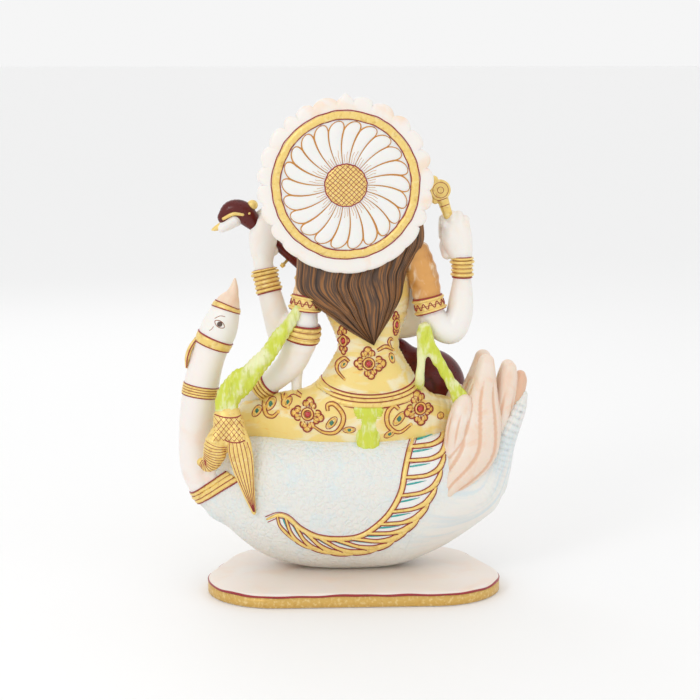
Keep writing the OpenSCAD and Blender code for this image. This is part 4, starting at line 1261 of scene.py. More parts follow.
def make_crown():
    base = HEAD + [0, -1.5, 36 * 0.26]
    steps = [(15.0, 0), (15.6, 0.7), (15.7, 3.2), (15.1, 4), (14.2, 4.4), (13.2, 7), (12.3, 10.5),
             (12.4, 11.6),
             (13.3, 12.3), (13.4, 14.4), (12.6, 15.3), (11.2, 16), (9.8, 19), (8.6, 22.4), (8.8, 23.2),
             (9.3, 23.9),
             (9.2, 26), (8.4, 26.8), (6.6, 28.6), (5.0, 31.6), (3.9, 34.4), (4.2, 35.4), (3.8, 36.6),
             (2.6, 38),
             (1.4, 40.4), (0.4, 42)]
    plain = lambda z: 0 <= z <= 4 or 12 <= z <= 15 or 23 <= z <= 26
    lobes = lambda a, z: 1 + (0.0 if plain(z) else 0.035 * np.abs(np.sin(a * 8)))
    revolve("tiered_crown", base, steps, 96, GOLD, "gold_paint", ["crown"], lobes)
    for tier, r, z, size in ((0, 15.7, 2.0, 1.25), (1, 13.4, 13.3, 1.05), (2, 9.3, 24.9, 0.85)):
        count = (12, 10, 8)[tier]
        for i in range(count):
            a = 2 * math.pi * (i + 0.5 * (tier % 2)) / count + math.pi / 2
            if math.sin(a) > 0.75:
                continue
            at = base + [r * math.cos(a), r * math.sin(a), z]
            ball(f"crown_gem_{tier}_{i}", at, (size,) * 3, RED_GEM if i % 2 else GREEN_GEM, "wine_red",
                 rings=7, around=10)
    crest = union(lambda p: egg(p, base + [0, -15.6, 8.5], (4.6, 1.5, 7)), k=1)
    carve("crown_crest", crest, base + [-6, -19, 0], base + [6, -12, 17], 0.6, GOLD, "gold_paint")
    ball("crown_crest_gem", base + [0, -17.1, 8], (1.9, 1.1, 2.6), RED_GEM, "wine_red")


HAIR_LEFT = [(8, 246), (20, 243.5), (27, 239), (30.6, 231), (33, 216), (34, 198), (34, 184), (27, 176),
             (19, 170), (12, 165), (3, 158), (-8, 151.6),
             (-12, 149.6)]
HAIR_RIGHT = [(0, 246), (-16, 244.5), (-31, 240), (-40, 231), (-43, 214), (-38, 203), (-33, 195),
              (-31, 187), (-29.5, 179), (-26, 171), (-21.5, 163),
              (-15.5, 154), (-12.8, 149.6)]


def make_hair():
    """The long fall of hair: locks that run together into one point on the back."""
    left, right = catmull(HAIR_LEFT, 14), catmull(HAIR_RIGHT, 14)
    rows = min(len(left), len(right))
    across = np.linspace(-1, 1, 300)
    loops, lanes, along, depth = [], [], [], []
    for i in range(rows):
        t = i / (rows - 1)
        (xl, zl), (xr, zr) = left[i], right[i]
        x = (xl + xr) / 2 + (xl - xr) / 2 * across
        z = (zl + zr) / 2 + (zl - zr) / 2 * across
        z = z - (1 - across ** 2) * (3.0 * min(1, 2.5 * t)) * (1 - t)
        lane = 9.5 * across + 0.8 * np.sin(2.6 * across + 5
                                           * t) + 0.6 * np.sin(6.3 * across - 3 * t + 1) + 1.6 * t
        cut = np.abs(np.sin(lane * math.pi / 2)) ** 0.55
        fine = np.abs(np.sin(lane * math.pi * 1.5 + 0.6 * np.sin(4 * t + across * 3)))
        swell = 0.8 * (1 - np.abs(across) ** 6)
        slope = np.interp(z, [150, 165, 185, 205, 215, 240], [5.0, 7.2, 8.2, 8.2, 6.6, 6.0])
        full = np.where(across > 0, (1 - np.abs(across) ** 9) ** 0.6, (1 - np.abs(across) ** 3.2) ** 0.8)
        y = -1.1 + slope * full + swell + 1.25 * cut + 0.3 * fine
        y = np.where(z > 196, np.minimum(y, HALO_FRONT - 0.4), y)
        back = np.column_stack([x, y, z])
        front = np.column_stack([x[::-3] * 0.97 - 0.1, np.full(len(x[::-3]), -6.0 + 4.5 * t), z[::-3]])
        loops.append(np.vstack([back, front]))
        lanes.append(np.concatenate([lane, lane[::-3]]))
        along.append(np.full(len(lanes[-1]), t))
        # groove values for painted shade: strongest between the strands, even on the underside
        depth.append(np.concatenate([1 - cut, np.ones(len(front)) * 0.4]))
    verts, faces = ring_loft(loops)
    painted = {"across": np.concatenate(lanes) * 0.1, "along": np.concatenate(along),
               "groove": np.concatenate(depth)}
    mesh_piece("hair_fall", verts, [f[::-1] for f in faces], HAIR, "hair_brown", ["hair"], painted)

    def cap(p):
        q = p - HEAD
        lane = np.arctan2(q[:, 0], 6) * 14
        d = smooth_min(egg(p, HEAD + [0, 4.5, 2], (15.4, 14.5, 18)), egg(p, (3, -1, 222), (17, 7.5, 13)), 5)
        d = smooth_min(d, egg(p, (-3, -4, 208), (30, 7.5, 9)), 5)
        d = d + 0.22 * np.cos(lane * 2)
        return np.maximum(np.maximum(d, p[:, 1] - HALO_FRONT + 0.3),
                          -(q[:, 1] + 6.5 + 0.10 * np.abs(q[:, 0])))
    carve("hair_cap", cap, (-36, -22, 196), (32, 10, 262), 0.75, HAIR, "hair_brown",
          paint={"across": lambda v: np.arctan2(v[:, 0] - HEAD[0], 6) * 1.6,
                 "along": lambda v: np.zeros(len(v)),
                 "groove": lambda v: np.full(len(v), 0.2)})


# ---------------------------------------------------------------- halo

PETALS = 22
PETAL_OUT, PETAL_ROUND = 37.9, 31.5     # radii of the tips, and of where the tips start to round
LOTUS_IN, LOTUS_OUT = 11.5, 38.5
SWIRL_FROM, SWIRL_TO = 12.8, 38
RIM_STEPS = 720


def halo_point(r, a, y):
    return np.stack([HALO[0] + r * np.cos(a), np.broadcast_to(y, np.shape(r)), HALO[1] + r * np.sin(a)], -1)


def swirl(r):
    """How far the petals have turned at a radius."""
    return math.radians(10) * np.clip((r - SWIRL_FROM) / (SWIRL_TO - SWIRL_FROM), 0, 1.2) ** 2


def halo_rim(a):
    """Radius of the scalloped edge; the scallops are uneven and die out along the bottom."""
    rng = np.random.default_rng(11)
    cuts = np.cumsum(rng.uniform(0.82, 1.18, 25))
    cuts = cuts / cuts[-1] * 2 * math.pi
    deg = np.degrees(a) % 360
    turn = a % (2 * math.pi)
    starts = np.concatenate([[0], cuts])
    k = np.clip(np.searchsorted(cuts, turn), 0, len(cuts) - 1)
    s = (turn - starts[k]) / (starts[k + 1] - starts[k])
    depth = 1 + 0.35 * np.sin(k * 2.3 + 1)
    lobe = 1 - depth * (1 - np.clip(np.sin(np.pi * (s ** 1.12)), 0, 1) ** 0.7)
    fade = np.interp(deg, [0, 200, 232, 300, 335, 360], [1, 1, 0.15, 0.15, 1, 1])
    top = np.maximum(0, 1 - np.abs(deg - 90) / 3.2) * 1.6
    return HALO_R - 0.2 - 3.0 * fade * (1 - lobe) + top + 0.5 * np.sin(3 * turn + 1) * 0.5


def make_halo():
    a = turns(RIM_STEPS)
    edge = halo_rim(a)
    rng = np.random.default_rng(3)
    dimple = sum(rng.uniform(0.02, 0.08) * np.sin(a * k + rng.uniform(0, 6)) for k in (5, 11, 17, 29))
    loops = [halo_point(np.full(RIM_STEPS, r), a, HALO_FRONT) for r in (30, 44)]
    for inset, y in [(2.2, HALO_FRONT + 0.1), (0.8, HALO_FRONT + 0.5), (0.15, HALO_FRONT + 1.4),
                     (0, HALO_FRONT + 2.5), (0.2, HALO_BACK - 1.3), (0.9, HALO_BACK - 0.45),
                     (2.4, HALO_BACK + 0.05)]:
        loops.append(halo_point(edge - inset, a, y))
    loops.append(halo_point((edge - 4.8) * 0.5 + 47.5 * 0.5, a, HALO_BACK + 0.25 + dimple))
    loops.append(halo_point(np.full(RIM_STEPS, 44.5), a, HALO_BACK + 0.2 + dimple * 0.5))
    loops.append(halo_point(np.full(RIM_STEPS, 38.4), a, HALO_BACK - 0.1))
    loops.append(halo_point(np.full(RIM_STEPS, 20.0), a, HALO_BACK - 0.1))
    mesh_piece("halo_plate", *ring_loft(loops), HALO_IVORY, "halo_ivory", ["halo_disc"])

    n_turn = PETALS * 36
    radii = np.concatenate([np.linspace(LOTUS_IN, 31, 22), np.linspace(31.6, LOTUS_OUT, 20)])
    a = np.arange(n_turn) / n_turn * 2 * math.pi
    loops = [halo_point(np.full(n_turn, LOTUS_IN), a, HALO_BACK - 0.6)]
    for r in radii:
        s = np.abs(((a / (2 * math.pi) * PETALS) % 1) * 2 - 1)
        e = np.hypot(s, max(0.0, (r - PETAL_ROUND) / (PETAL_OUT - PETAL_ROUND))) if r > PETAL_ROUND else s
        h = 0.15 + 1.45 * np.sqrt(np.clip(1 - e ** 2.3, 0,
                                          1)) * np.interp(r, [11.5, 20, 38], [0.5, 0.85, 1.0])
        loops.append(halo_point(np.full(n_turn, r), a + swirl(r), HALO_BACK + h))
    loops.append(halo_point(np.full(n_turn, LOTUS_OUT), a + swirl(LOTUS_OUT), HALO_BACK - 0.6))
    mesh_piece("halo_petals", *ring_loft(loops, closed=True), PETAL_WHITE, "halo_ivory", ["halo_lotus"])

    a = turns(240)
    section = [(38.9, -0.5), (38.9, 0.7), (39.4, 1.35), (40.5, 1.75), (41.8, 1.75), (43.0, 1.3),
               (43.5, 0.7),
               (43.5, -0.3)]
    wave = 0.12 * np.sin(a * 9 + 1) + 0.08 * np.sin(a * 23)
    loops = [halo_point(r + wave, a, HALO_BACK + h) for r, h in section]
    mesh_piece("halo_gold_ring", *ring_loft(loops, closed=True), GOLD, "gold_paint", ["halo_ring"])
    profile = [(12.6, -0.4), (12.6, 1.2), (12.2, 1.7), (9, 2.1), (4.5, 2.3), (0.4, 2.35)]
    loops = [halo_point(np.full(len(a), r), a, HALO_BACK + h) for r, h in profile]
    mesh_piece("halo_gold_boss", *ring_loft(loops), GOLD, "gold_paint", ["halo_boss"])

    skin = Skin("halo_plate", "halo_petals", "halo_gold_ring", "halo_gold_boss")
    rays = from_side(1)
    polar = lambda r, t: np.column_stack([HALO[0] + r * np.cos(t), HALO[1] + r * np.sin(t)])
    maroon, ochre = Trim(skin, rays), Trim(skin, rays)
    rough = 0.10 * np.sin(a * 13) + 0.08 * np.sin(a * 31 + 2)
    for radius, half in ((44.0, 0.36), (38.75, 0.34), (12.5, 0.42)):
        maroon.ribbon(polar(radius + rough + (wave if radius > 38 else 0), a), half + 0.25 * np.abs(rough),
                      0.35,
                      closed=True)
    for tilt in (math.radians(42), math.radians(-46)):
        along, side = np.array([math.cos(tilt), math.sin(tilt)]), np.array([-math.sin(tilt), math.cos(tilt)])
        for k in range(-5, 6):
            off = (k + 0.1) * 2.15
            reach = math.sqrt(max(11.9 ** 2 - off ** 2, 0.1))
            t = np.linspace(-reach, reach, 30)
            maroon.ribbon(HALO + t[:, None] * along + (off + 0.12 * np.sin(t * 0.8 + k))[:, None] * side,
                          0.2, 0.22)
    rng = np.random.default_rng(8)
    for i in range(PETALS):
        start = i / PETALS * 2 * math.pi
        r = np.linspace(13.2, PETAL_ROUND + 0.5, 22)
        heavy = rng.uniform(0.8, 1.25)
        ochre.ribbon(polar(r, start + swirl(r)), heavy * np.interp(r, [13, 20, 32], [0.22, 0.38, 0.62]),
                     0.32)
        for s in (-1, 1):
            r = np.linspace(PETAL_ROUND + 0.3, PETAL_OUT, 12)
            bow = 1 - np.sqrt(np.clip(1 - ((r - PETAL_ROUND) / (PETAL_OUT - PETAL_ROUND)) ** 2, 0, 1))
            turn = start + swirl(r) + s * bow * math.pi / PETALS
            ochre.ribbon(polar(r, turn), heavy * np.interp(r, [31, 38], [0.58, 0.36]), 0.3)
        for off in (0.30, 0.62):
            r = np.linspace(13.4, rng.uniform(17, 22), 10)
            ochre.ribbon(polar(r, start + off * 2 * math.pi / PETALS + swirl(r) + 0.01 * np.sin(r)), 0.17,
                         0.15)
    maroon.piece("halo_maroon_lines", WINE, "wine_red")
    ochre.piece("halo_petal_lines", OCHRE_LINE)


# ---------------------------------------------------------------- arms and hands

right_up = Limb([(-38, -9, 203, 8.4, 10), (-43, -8, 190, 8.1, 10), (-46.6, -7, 174, 7.2, 9),
                 (-51, -6, 162, 8.4, 9.2), (-60, -6, 157, 8.6, 9), (-65, -7, 165, 8.2, 8.6),
                 (-66.5, -8, 176, 7.4, 7.6), (-67, -8, 190, 5.4, 6), (-66.8, -8, 203, 5.2, 6)])
left_low = Limb([(23.5, -9, 203, 7, 9.5), (25.4, -7, 190, 7.4, 9.6), (28.5, -5, 174, 7.3, 9),
                 (31, -6, 156, 9.8, 10), (36, -10, 139, 9, 9.4), (45, -15, 128, 7.6, 8),
                 (57, -21, 117, 6.2, 6.4),
                 (61, -24, 111, 6.4, 5.6)])
left_up = Limb([(36, -21, 158, 8.6, 8.6), (42, -24, 152, 8.4, 8.6), (46, -27, 163, 7.8, 8),
                (50, -30, 178, 6.8, 7),
                (53.5, -32, 193, 6.0, 6.2), (54, -33, 200, 6.6, 6.0)], up=(1, 0, 0))
right_low = Limb([(-33, -16, 197, 9.5, 9.5), (-38, -21, 182, 9.2, 9.2), (-43, -28, 166, 8.6, 8.6),
                  (-40, -36, 157, 8, 8), (-31, -42, 153, 6.8, 6.8), (-23, -46, 151, 5.4, 5.4),
                  (-18, -48, 150, 5.6, 5)])


SLEEVE = 1.3     # how far a sleeve lies outside its arm


def beyond(limb, station):
    """Above zero past a station of the limb."""
    s = int(station * limb.per_span)
    return lambda p: (p - limb.c[s]) @ limb.t[s]


def make_arms():
    sleeve = lambda p, limb: np.maximum(limb(p, SLEEVE), beyond(limb, 2)(p))
    folds = lambda p: 0.25 * np.sin(p[:, 2] * 0.9 + p[:, 0] * 0.3)
    both = lambda p: np.maximum(np.minimum(sleeve(p, right_up), sleeve(p, left_low)) + folds(p),
                                -56.6 - p[:, 0])
    carve("orange_sleeves", both, (-60, -24, 168), (44, 8, 216), 0.8, RUST, "sleeve_orange", ["sleeves"])
    cut_r = lambda p: np.maximum(right_up(p), p[:, 2] - 176.5 - 30 * (p[:, 0] < -56))
    carve("right_raised_arm_cast", cut_r, (-78, -20, 144), (-32, 6, 206), 0.75, IVORY, "ivory_marble",
          ["right_raised_arm"])
    elbow = union(left_low, lambda p: egg(p, (30.4, -4.4, 150), (7.6, 7.4, 8)), k=3)
    carve("left_lowered_arm_cast", lambda p: np.maximum(elbow(p), p[:, 2] - 176), (16, -34, 100),
          (74, 8, 180), 0.75,
          IVORY, "ivory_marble", ["left_lowered_arm"])
    carve("left_raised_arm_cast", left_up, (24, -44, 140), (64, -10, 208), 0.75, IVORY, "ivory_marble",
          ["left_raised_forearm"])
    carve("right_lowered_arm_cast", right_low, (-56, -58, 140), (-10, -4, 210), 0.8, IVORY, "ivory_marble",
          ["right_lowered_arm"])
    strut = Limb([(34, -14, 106, 5.4, 4.6), (34, -13, 114, 3.6, 3), (34, -13, 124, 3.2, 3),
                  (34.6, -12, 134, 5, 4.4)])
    carve("elbow_strut", strut, (24, -24, 102), (44, -4, 140), 0.7, IVORY, "ivory_marble", ["arm_strut"])


def fist(palm, knuckles, curl, thumb):
    """A closed hand: palm, four bent fingers and a thumb."""
    fingers = [Limb([(*k, 2.4, 2.4)] + [(*(np.array(k) + c), r, r) for c, r in curl]) for k in knuckles]
    return union(Limb(palm), Limb(thumb), *fingers, k=1.1)


def make_hands():
    right = fist([(-66.7, -8, 200, 5.2, 5.6), (-65.8, -8, 205, 7.6, 6.2), (-64, -8, 212, 9.2, 6.2),
                  (-63, -9, 218, 8.8, 5.6), (-62.5, -9.5, 222, 7.4, 4.4)],
                 [(-56.2, -8, 221), (-60.6, -7.4, 223.6), (-65, -7.4, 223.2), (-69, -8, 220.4)],
                 [((0, -4.4, 3.0), 2.5), ((0.4, -9.4, 1.8), 2.4), ((0.6, -11.6, -3.6), 2.2),
                  ((0.8, -9.5, -8), 2.0)],
                 [(-58, -11, 203, 3.4, 3.4), (-56.6, -15.5, 208, 2.9, 2.9), (-59, -18.6, 213, 2.5, 2.5),
                  (-61.5, -19.6, 216.5, 2, 2)])
    carve("right_raised_hand_cast", right, (-78, -26, 188), (-50, 0, 232), 0.5, IVORY, "ivory_marble",
          ["right_raised_hand"])
    left = fist([(53.6, -33, 197, 6, 6), (54, -33, 204, 7.8, 6.4), (53.6, -33, 212, 8.8, 6.2),
                 (52.4, -34, 219, 8.2, 5.4)],
                [(46.4, -33.4, 219.6), (50, -32.6, 222), (54, -32.6, 221.6), (57.6, -33.4, 218.4)],
                [((0, -4.4, 2.4), 2.4), ((0.2, -9.0, 1.0), 2.3), ((0.3, -10.8, -4), 2.1),
                 ((0.3, -8.8, -8), 1.9)],
                [(47.6, -35, 203, 3.3, 3.3), (46.4, -39.5, 208, 2.8, 2.8), (48.6, -42.8, 213, 2.4, 2.4),
                 (50.6, -43.4, 216, 1.9, 1.9)])
    carve("left_raised_hand_cast", left, (40, -50, 190), (66, -24, 230), 0.5, IVORY, "ivory_marble",
          ["left_raised_hand"])
    lap = union(Limb([(58, -22, 116, 6, 6), (61.5, -24.5, 111, 7.2, 5.2), (64, -27, 107.4, 6.8, 4.2)]),
                *[Limb([(64.5 + 1.8 * i, -24 - 3.2 * (i % 4) * 0.9, 106.6 - 0.5 * i, 2.2, 2.2),
                        (67.5 + 1.3 * i, -26.6 - 3.2 * i, 103.6 - 0.9 * i, 1.9, 1.9),
                        (68.6 + 0.9 * i, -29 - 3.2 * i, 99.6 - 0.7 * i, 1.6, 1.6)]) for i in range(4)],
                k=1.4)
    carve("left_lap_hand_cast", lap, (50, -46, 94), (78, -14, 124), 0.5, IVORY, "ivory_marble",
          ["left_lowered_hand"])
    play = union(Limb([(-22, -46, 151, 5.6, 5.6), (-17, -48.5, 150, 6.4, 4.8), (-11.5, -50.5, 149, 6, 4)]),
                 *[Limb([(-11 + 0.4 * i, -51, 153 - 2.6 * i, 2.1, 2.1),
                         (-5.6 + 0.8 * i, -53.5, 151 - 2.9 * i, 1.9, 1.9),
                         (-3 + 0.8 * i, -56.5, 147.4 - 2.8 * i, 1.5, 1.5)]) for i in range(4)],
                 Limb([(-15, -52, 154, 2.6, 2.6), (-10, -55, 156.4, 2.2, 2.2), (-6.6, -57, 155, 1.7, 1.7)]),
                 k=1.2)
    carve("right_playing_hand_cast", play, (-30, -62, 134), (2, -42, 162), 0.5, IVORY, "ivory_marble",
          ["right_lowered_hand"])


def cuff(gold_t, wine_t, limb, grow, place, half_mm, ridges, edge=0.42):
    """A wide bangle: a base band, round ridges on it, and a maroon line at each edge."""
    i = int(min(place, len(limb.c) / limb.per_span - 1.3))
    span = np.linalg.norm(limb.c[min((i + 1) * limb.per_span, len(limb.c) - 1)] - limb.c[i * limb.per_span])
    a = turns(60)

    def ring(trim, offset, half, low, high):
        loops = []
        for step, h in ((-1, low), (-0.75, high * 0.8), (-0.3, high), (0.3, high), (0.75, high * 0.8),
                        (1, low),
                        (0.9, -0.6), (-0.9, -0.6)):
            at = (place + (offset + step * half) / span) * limb.per_span
            loops.append(limb.skin_line(np.full(len(a), np.clip(at, 0, len(limb.c) - 1.01)), a, grow + h))
        trim.add(*ring_loft(loops, closed=True))

    ring(gold_t, 0, half_mm, 0.1, 0.55)
    for at, half, rise in ridges:
        ring(gold_t, at * half_mm, half, 0.3, rise)
    for s in (-1, 1):
        ring(wine_t, s * half_mm * 0.99, edge, 0.05, 0.75)
    for (a0, _, _), (a1, _, _) in zip(ridges[:-1], ridges[1:]):
        ring(wine_t, (a0 + a1) / 2 * half_mm, 0.2, 0.3, 0.8)


def make_bangles():
    rising, bands, cuffs, wine_t = Trim(), Trim(), Trim(), Trim()
    cuff(rising, wine_t, right_up, 0.1, 7.41, 6.6, [(-0.72, 1.0, 1.7), (-0.3, 0.9, 1.5), (0.1, 0.9, 1.5),
                                                 (0.52, 1.1, 2.3), (0.86, 0.8, 1.8)])
    cuff(rising, wine_t, left_up, 0.1, 3.45, 7.2, [(-0.8, 1.0, 1.5), (-0.45, 0.9, 1.4), (-0.1, 0.9, 1.4),
                                                  (0.25, 1.0, 1.6), (0.6, 1.2, 2.4), (0.9, 0.8, 1.8)])
    cuff(rising, wine_t, left_low, 0.1, 5.7, 4.6, [(-0.7, 0.9, 1.4), (-0.2, 0.9, 1.4), (0.3, 0.9, 1.4),
                                                  (0.8, 0.9, 1.6)])
    cuff(rising, wine_t, right_low, 0.1, 4.6, 4.2, [(-0.7, 0.9, 1.4), (0, 0.9, 1.6), (0.7, 0.9, 1.4)])
    cuff(bands, wine_t, left_low, 0.9, 2.95, 4.6, [(-0.7, 0.9, 1.3), (-0.05, 1.3, 1.5), (0.68, 0.9, 1.3)])
    cuff(cuffs, wine_t, right_up, SLEEVE, 2.1, 4.0, [(-0.74, 0.75, 1.5), (0.76, 0.75, 1.5)])
    cuff(cuffs, wine_t, left_low, SLEEVE, 1.98, 3.8, [(-0.74, 0.7, 1.5), (0.76, 0.7, 1.5)])
    rising.piece("gold_bangles", GOLD, stands_for=["bangles"])
    bands.piece("gold_armlet", GOLD, stands_for=["armlet"])
    cuffs.piece("gold_sleeve_cuffs", GOLD, stands_for=["sleeve_cuffs"])
    for limb, place, length in ((right_up, 2.1, 12.7), (left_low, 1.98, 18)):
        turn = np.linspace(0, 1, 240, endpoint=False)
        at = (place + 1.5 / length * np.sin(turn * 2 * math.pi * 13)) * limb.per_span
        tube(wine_t, limb.skin_line(at, turn * 2 * math.pi, 2.0), 0.3, 6)
    wine_t.piece("bangle_lines", WINE, "wine_red")


def make_goad():
    shaft = Limb([(-66, -10, 205, 2.4, 2.4), (-60, -10, 222, 2.7, 2.6), (-56.5, -10, 232, 3.2, 2.9),
                  (-53.8, -10, 240, 3.8, 3.0)])
    coil = lambda p: np.maximum(np.hypot(p[:, 0] + 53.4, p[:, 2] - 242.2) - 6.2, np.abs(p[:, 1] + 10) - 2.6)
    hook = Limb([(-50, -10, 246, 2.2, 2), (-48, -10, 240, 1.8, 1.7), (-46.6, -10, 233.5, 0.9, 1)])
    web = lambda p: egg(p, (-50.4, -10, 237.5), (2.8, 1.8, 4))
    knob = lambda p: egg(p, (-49.6, -10, 248.6), (2.4, 2.2, 2.2))
    field = union(shaft, coil, hook, web, knob, k=1.0)
    carve("gold_goad", field, (-72, -16, 200), (-43, -4, 253), 0.5, GOLD, "gold_paint", ["goad"])
    skin, rays = Skin("gold_goad"), from_side(1)
    lines = Trim(skin, rays)
    a = turns(40)
    lines.ribbon(np.column_stack([-53.4 + 4.7 * np.cos(a), 242.2 + 4.7 * np.sin(a)]), 0.2, 0.25,
                 closed=True)
    lines.ribbon(np.column_stack([-53.4 + 1.9 * np.cos(a), 242.2 + 1.9 * np.sin(a)]), 0.2, 0.25,
                 closed=True)
    for k in (0.25, 0.5):
        c = np.array([-57.5 + 6 * k, 229 + 15 * k])
        lines.ribbon(c + np.linspace(-3, 3, 8)[:, None] * np.array([0.94, -0.33]), 0.25, 0.3)
    lines.piece("goad_lines", WINE, "wine_red")


# ---------------------------------------------------------------- long lute

VEENA_TOP, VEENA_FOOT = np.array([58.0, -34, 218]), np.array([-30.0, -50, 138])
BOWL = np.array([-50.0, -50, 114])


def make_veena():
    neck_bar = Limb([(*VEENA_TOP, 2.8, 2.8), (*(VEENA_TOP + VEENA_FOOT) / 2, 3.1, 3.1),
                     (*VEENA_FOOT, 3.6, 3.4)])
    carve("veena_neck_bar", neck_bar, (-36, -58, 130), (64, -28, 226), 0.7, VEENA, "wine_red",
          ["veena_neck"])
    shell = lambda p: smooth_min(egg(p, BOWL + [0, 3, 0], (24, 17, 25)),
                                 egg(p, VEENA_FOOT + [0, 3, 0], (8, 6, 8)), 12)
    face_y = BOWL[1] - 6
    carve("veena_shell", lambda p: np.maximum(shell(p), face_y - p[:, 1]), (-78, -60, 86), (-20, -26, 150),
          0.9,
          VEENA, "wine_red", ["veena_bowl"])
    carve("veena_cream_board", lambda p: np.maximum(np.maximum(shell(p) + 0.7, p[:, 1] - face_y),
                                                    face_y - 1.4 - p[:, 1]),
          (-78, -60, 86), (-20, -52, 150), 0.7, CREAM_BOARD, "soundboard_cream", ["veena_soundboard"])
    rim = lambda p: np.maximum(np.abs(shell(p) + 0.2) - 0.9, np.abs(p[:, 1] - face_y + 0.4) - 0.9)
    carve("veena_gold_rim", rim, (-78, -60, 86), (-20, -52, 150), 0.6, GOLD, "gold_paint")
    head = union(Limb([(58, -34, 218, 3.6, 3.6), (62, -34, 223, 5.8, 5.2), (67, -34, 227.5, 6.8, 5.8),
                       (73, -34, 228, 6.2, 5.2), (77.5, -34, 223.5, 4.4, 4.0)]), k=1)
    carve("veena_bird_head", head, (50, -44, 210), (84, -24, 238), 0.55, VEENA, "wine_red", ["veena_head"])
    cheek = Limb([(71, -34, 222.5, 4.6, 5.6), (76, -34, 219.5, 4.0, 4.6), (79, -34, 217.5, 3.0, 3.4)])
    carve("veena_bird_cheek", cheek, (62, -44, 210), (84, -26, 230), 0.5, PETAL_WHITE, "ivory_marble")
    bill = union(Limb([(78.5, -34, 219, 2.6, 2.6), (82.5, -34, 217.2, 1.7, 1.8),
                       (85, -34, 216.2, 0.6, 0.8)]),
                 Limb([(66, -28.9, 226, 1, 1), (72, -28.6, 226.4, 1.1, 1), (78, -30, 223.4, 1, 1)]),
                 Limb([(66, -39.1, 226, 1, 1), (72, -39.4, 226.4, 1.1, 1), (78, -38, 223.4, 1, 1)]),
                 lambda p: egg(p, (60.2, -34, 231.4), (3.4, 3.2, 3.2)),
                 lambda p: egg(p, (62.5, -30.2, 226.4), (1.6, 1.6, 1.6)), k=0.6)
    carve("veena_gilding", bill, (54, -44, 210), (88, -24, 238), 0.45, GOLD, "gold_paint")
    rods = Trim()
    for k in (-1.5, -0.5, 0.5, 1.5):
        a = VEENA_TOP + [0, -3.6, k * 1.1]
        b = BOWL + [0, -9.4, 4 + k * 1.6]
        tube(rods, np.array([a, (a + b) / 2, b]), 0.34)
    rods.piece("veena_string_set", STRING, "string_silver", ["veena_strings"])
    pegs = Trim()
    way = (VEENA_FOOT - VEENA_TOP) / np.linalg.norm(VEENA_FOOT - VEENA_TOP)
    side = np.cross(way, [0, 1, 0])
    for s in (0.14, 0.24, 0.34):
        c = VEENA_TOP + (VEENA_FOOT - VEENA_TOP) * s
        for k in (-1, 1):
            line = np.array([c + side * k * 2, c + side * k * 6, c + side * k * 6.2, c + side * k * 8.6])
            tube(pegs, line, np.array([0.9, 0.9, 1.7, 1.2]))
    for s in np.linspace(0.42, 0.95, 12):
        c = VEENA_TOP + (VEENA_FOOT - VEENA_TOP) * s + np.array([0, -2.6, 0])
        tube(pegs, np.array([c - side * 2.8, c + side * 2.8]), 0.45)
    bridge = BOWL + np.array([0, -8.0, 4])
    tube(pegs, np.array([bridge - side * 4, bridge + side * 4]), 1.1)
    pegs.piece("veena_pegs_and_frets", GOLD, stands_for=["veena_pegs"])


def tube(trim, line, radius, sides=10):
    """A round rod along a 3-D line, added to a trim."""
    line = np.asarray(line, float)
    r = np.broadcast_to(np.asarray(radius, float), (len(line),))
    t = np.gradient(line, axis=0)
    t /= np.linalg.norm(t, axis=1)[:, None]
    spare = np.array([0, 1.0, 0]) if abs(t[0][1]) < 0.9 else np.array([1.0, 0, 0])
    u = np.cross(t, spare)
    u /= np.linalg.norm(u, axis=1)[:, None]
    v = np.cross(t, u)
    a = turns(sides)
    loops = line[:, None] + u[:, None] * (r[:, None] * np.cos(a))[..., None] + v[:, None] * (
        r[:, None] * np.sin(a))[..., None]
    trim.add(*ring_loft(loops))


# ---------------------------------------------------------------- scarf and necklace

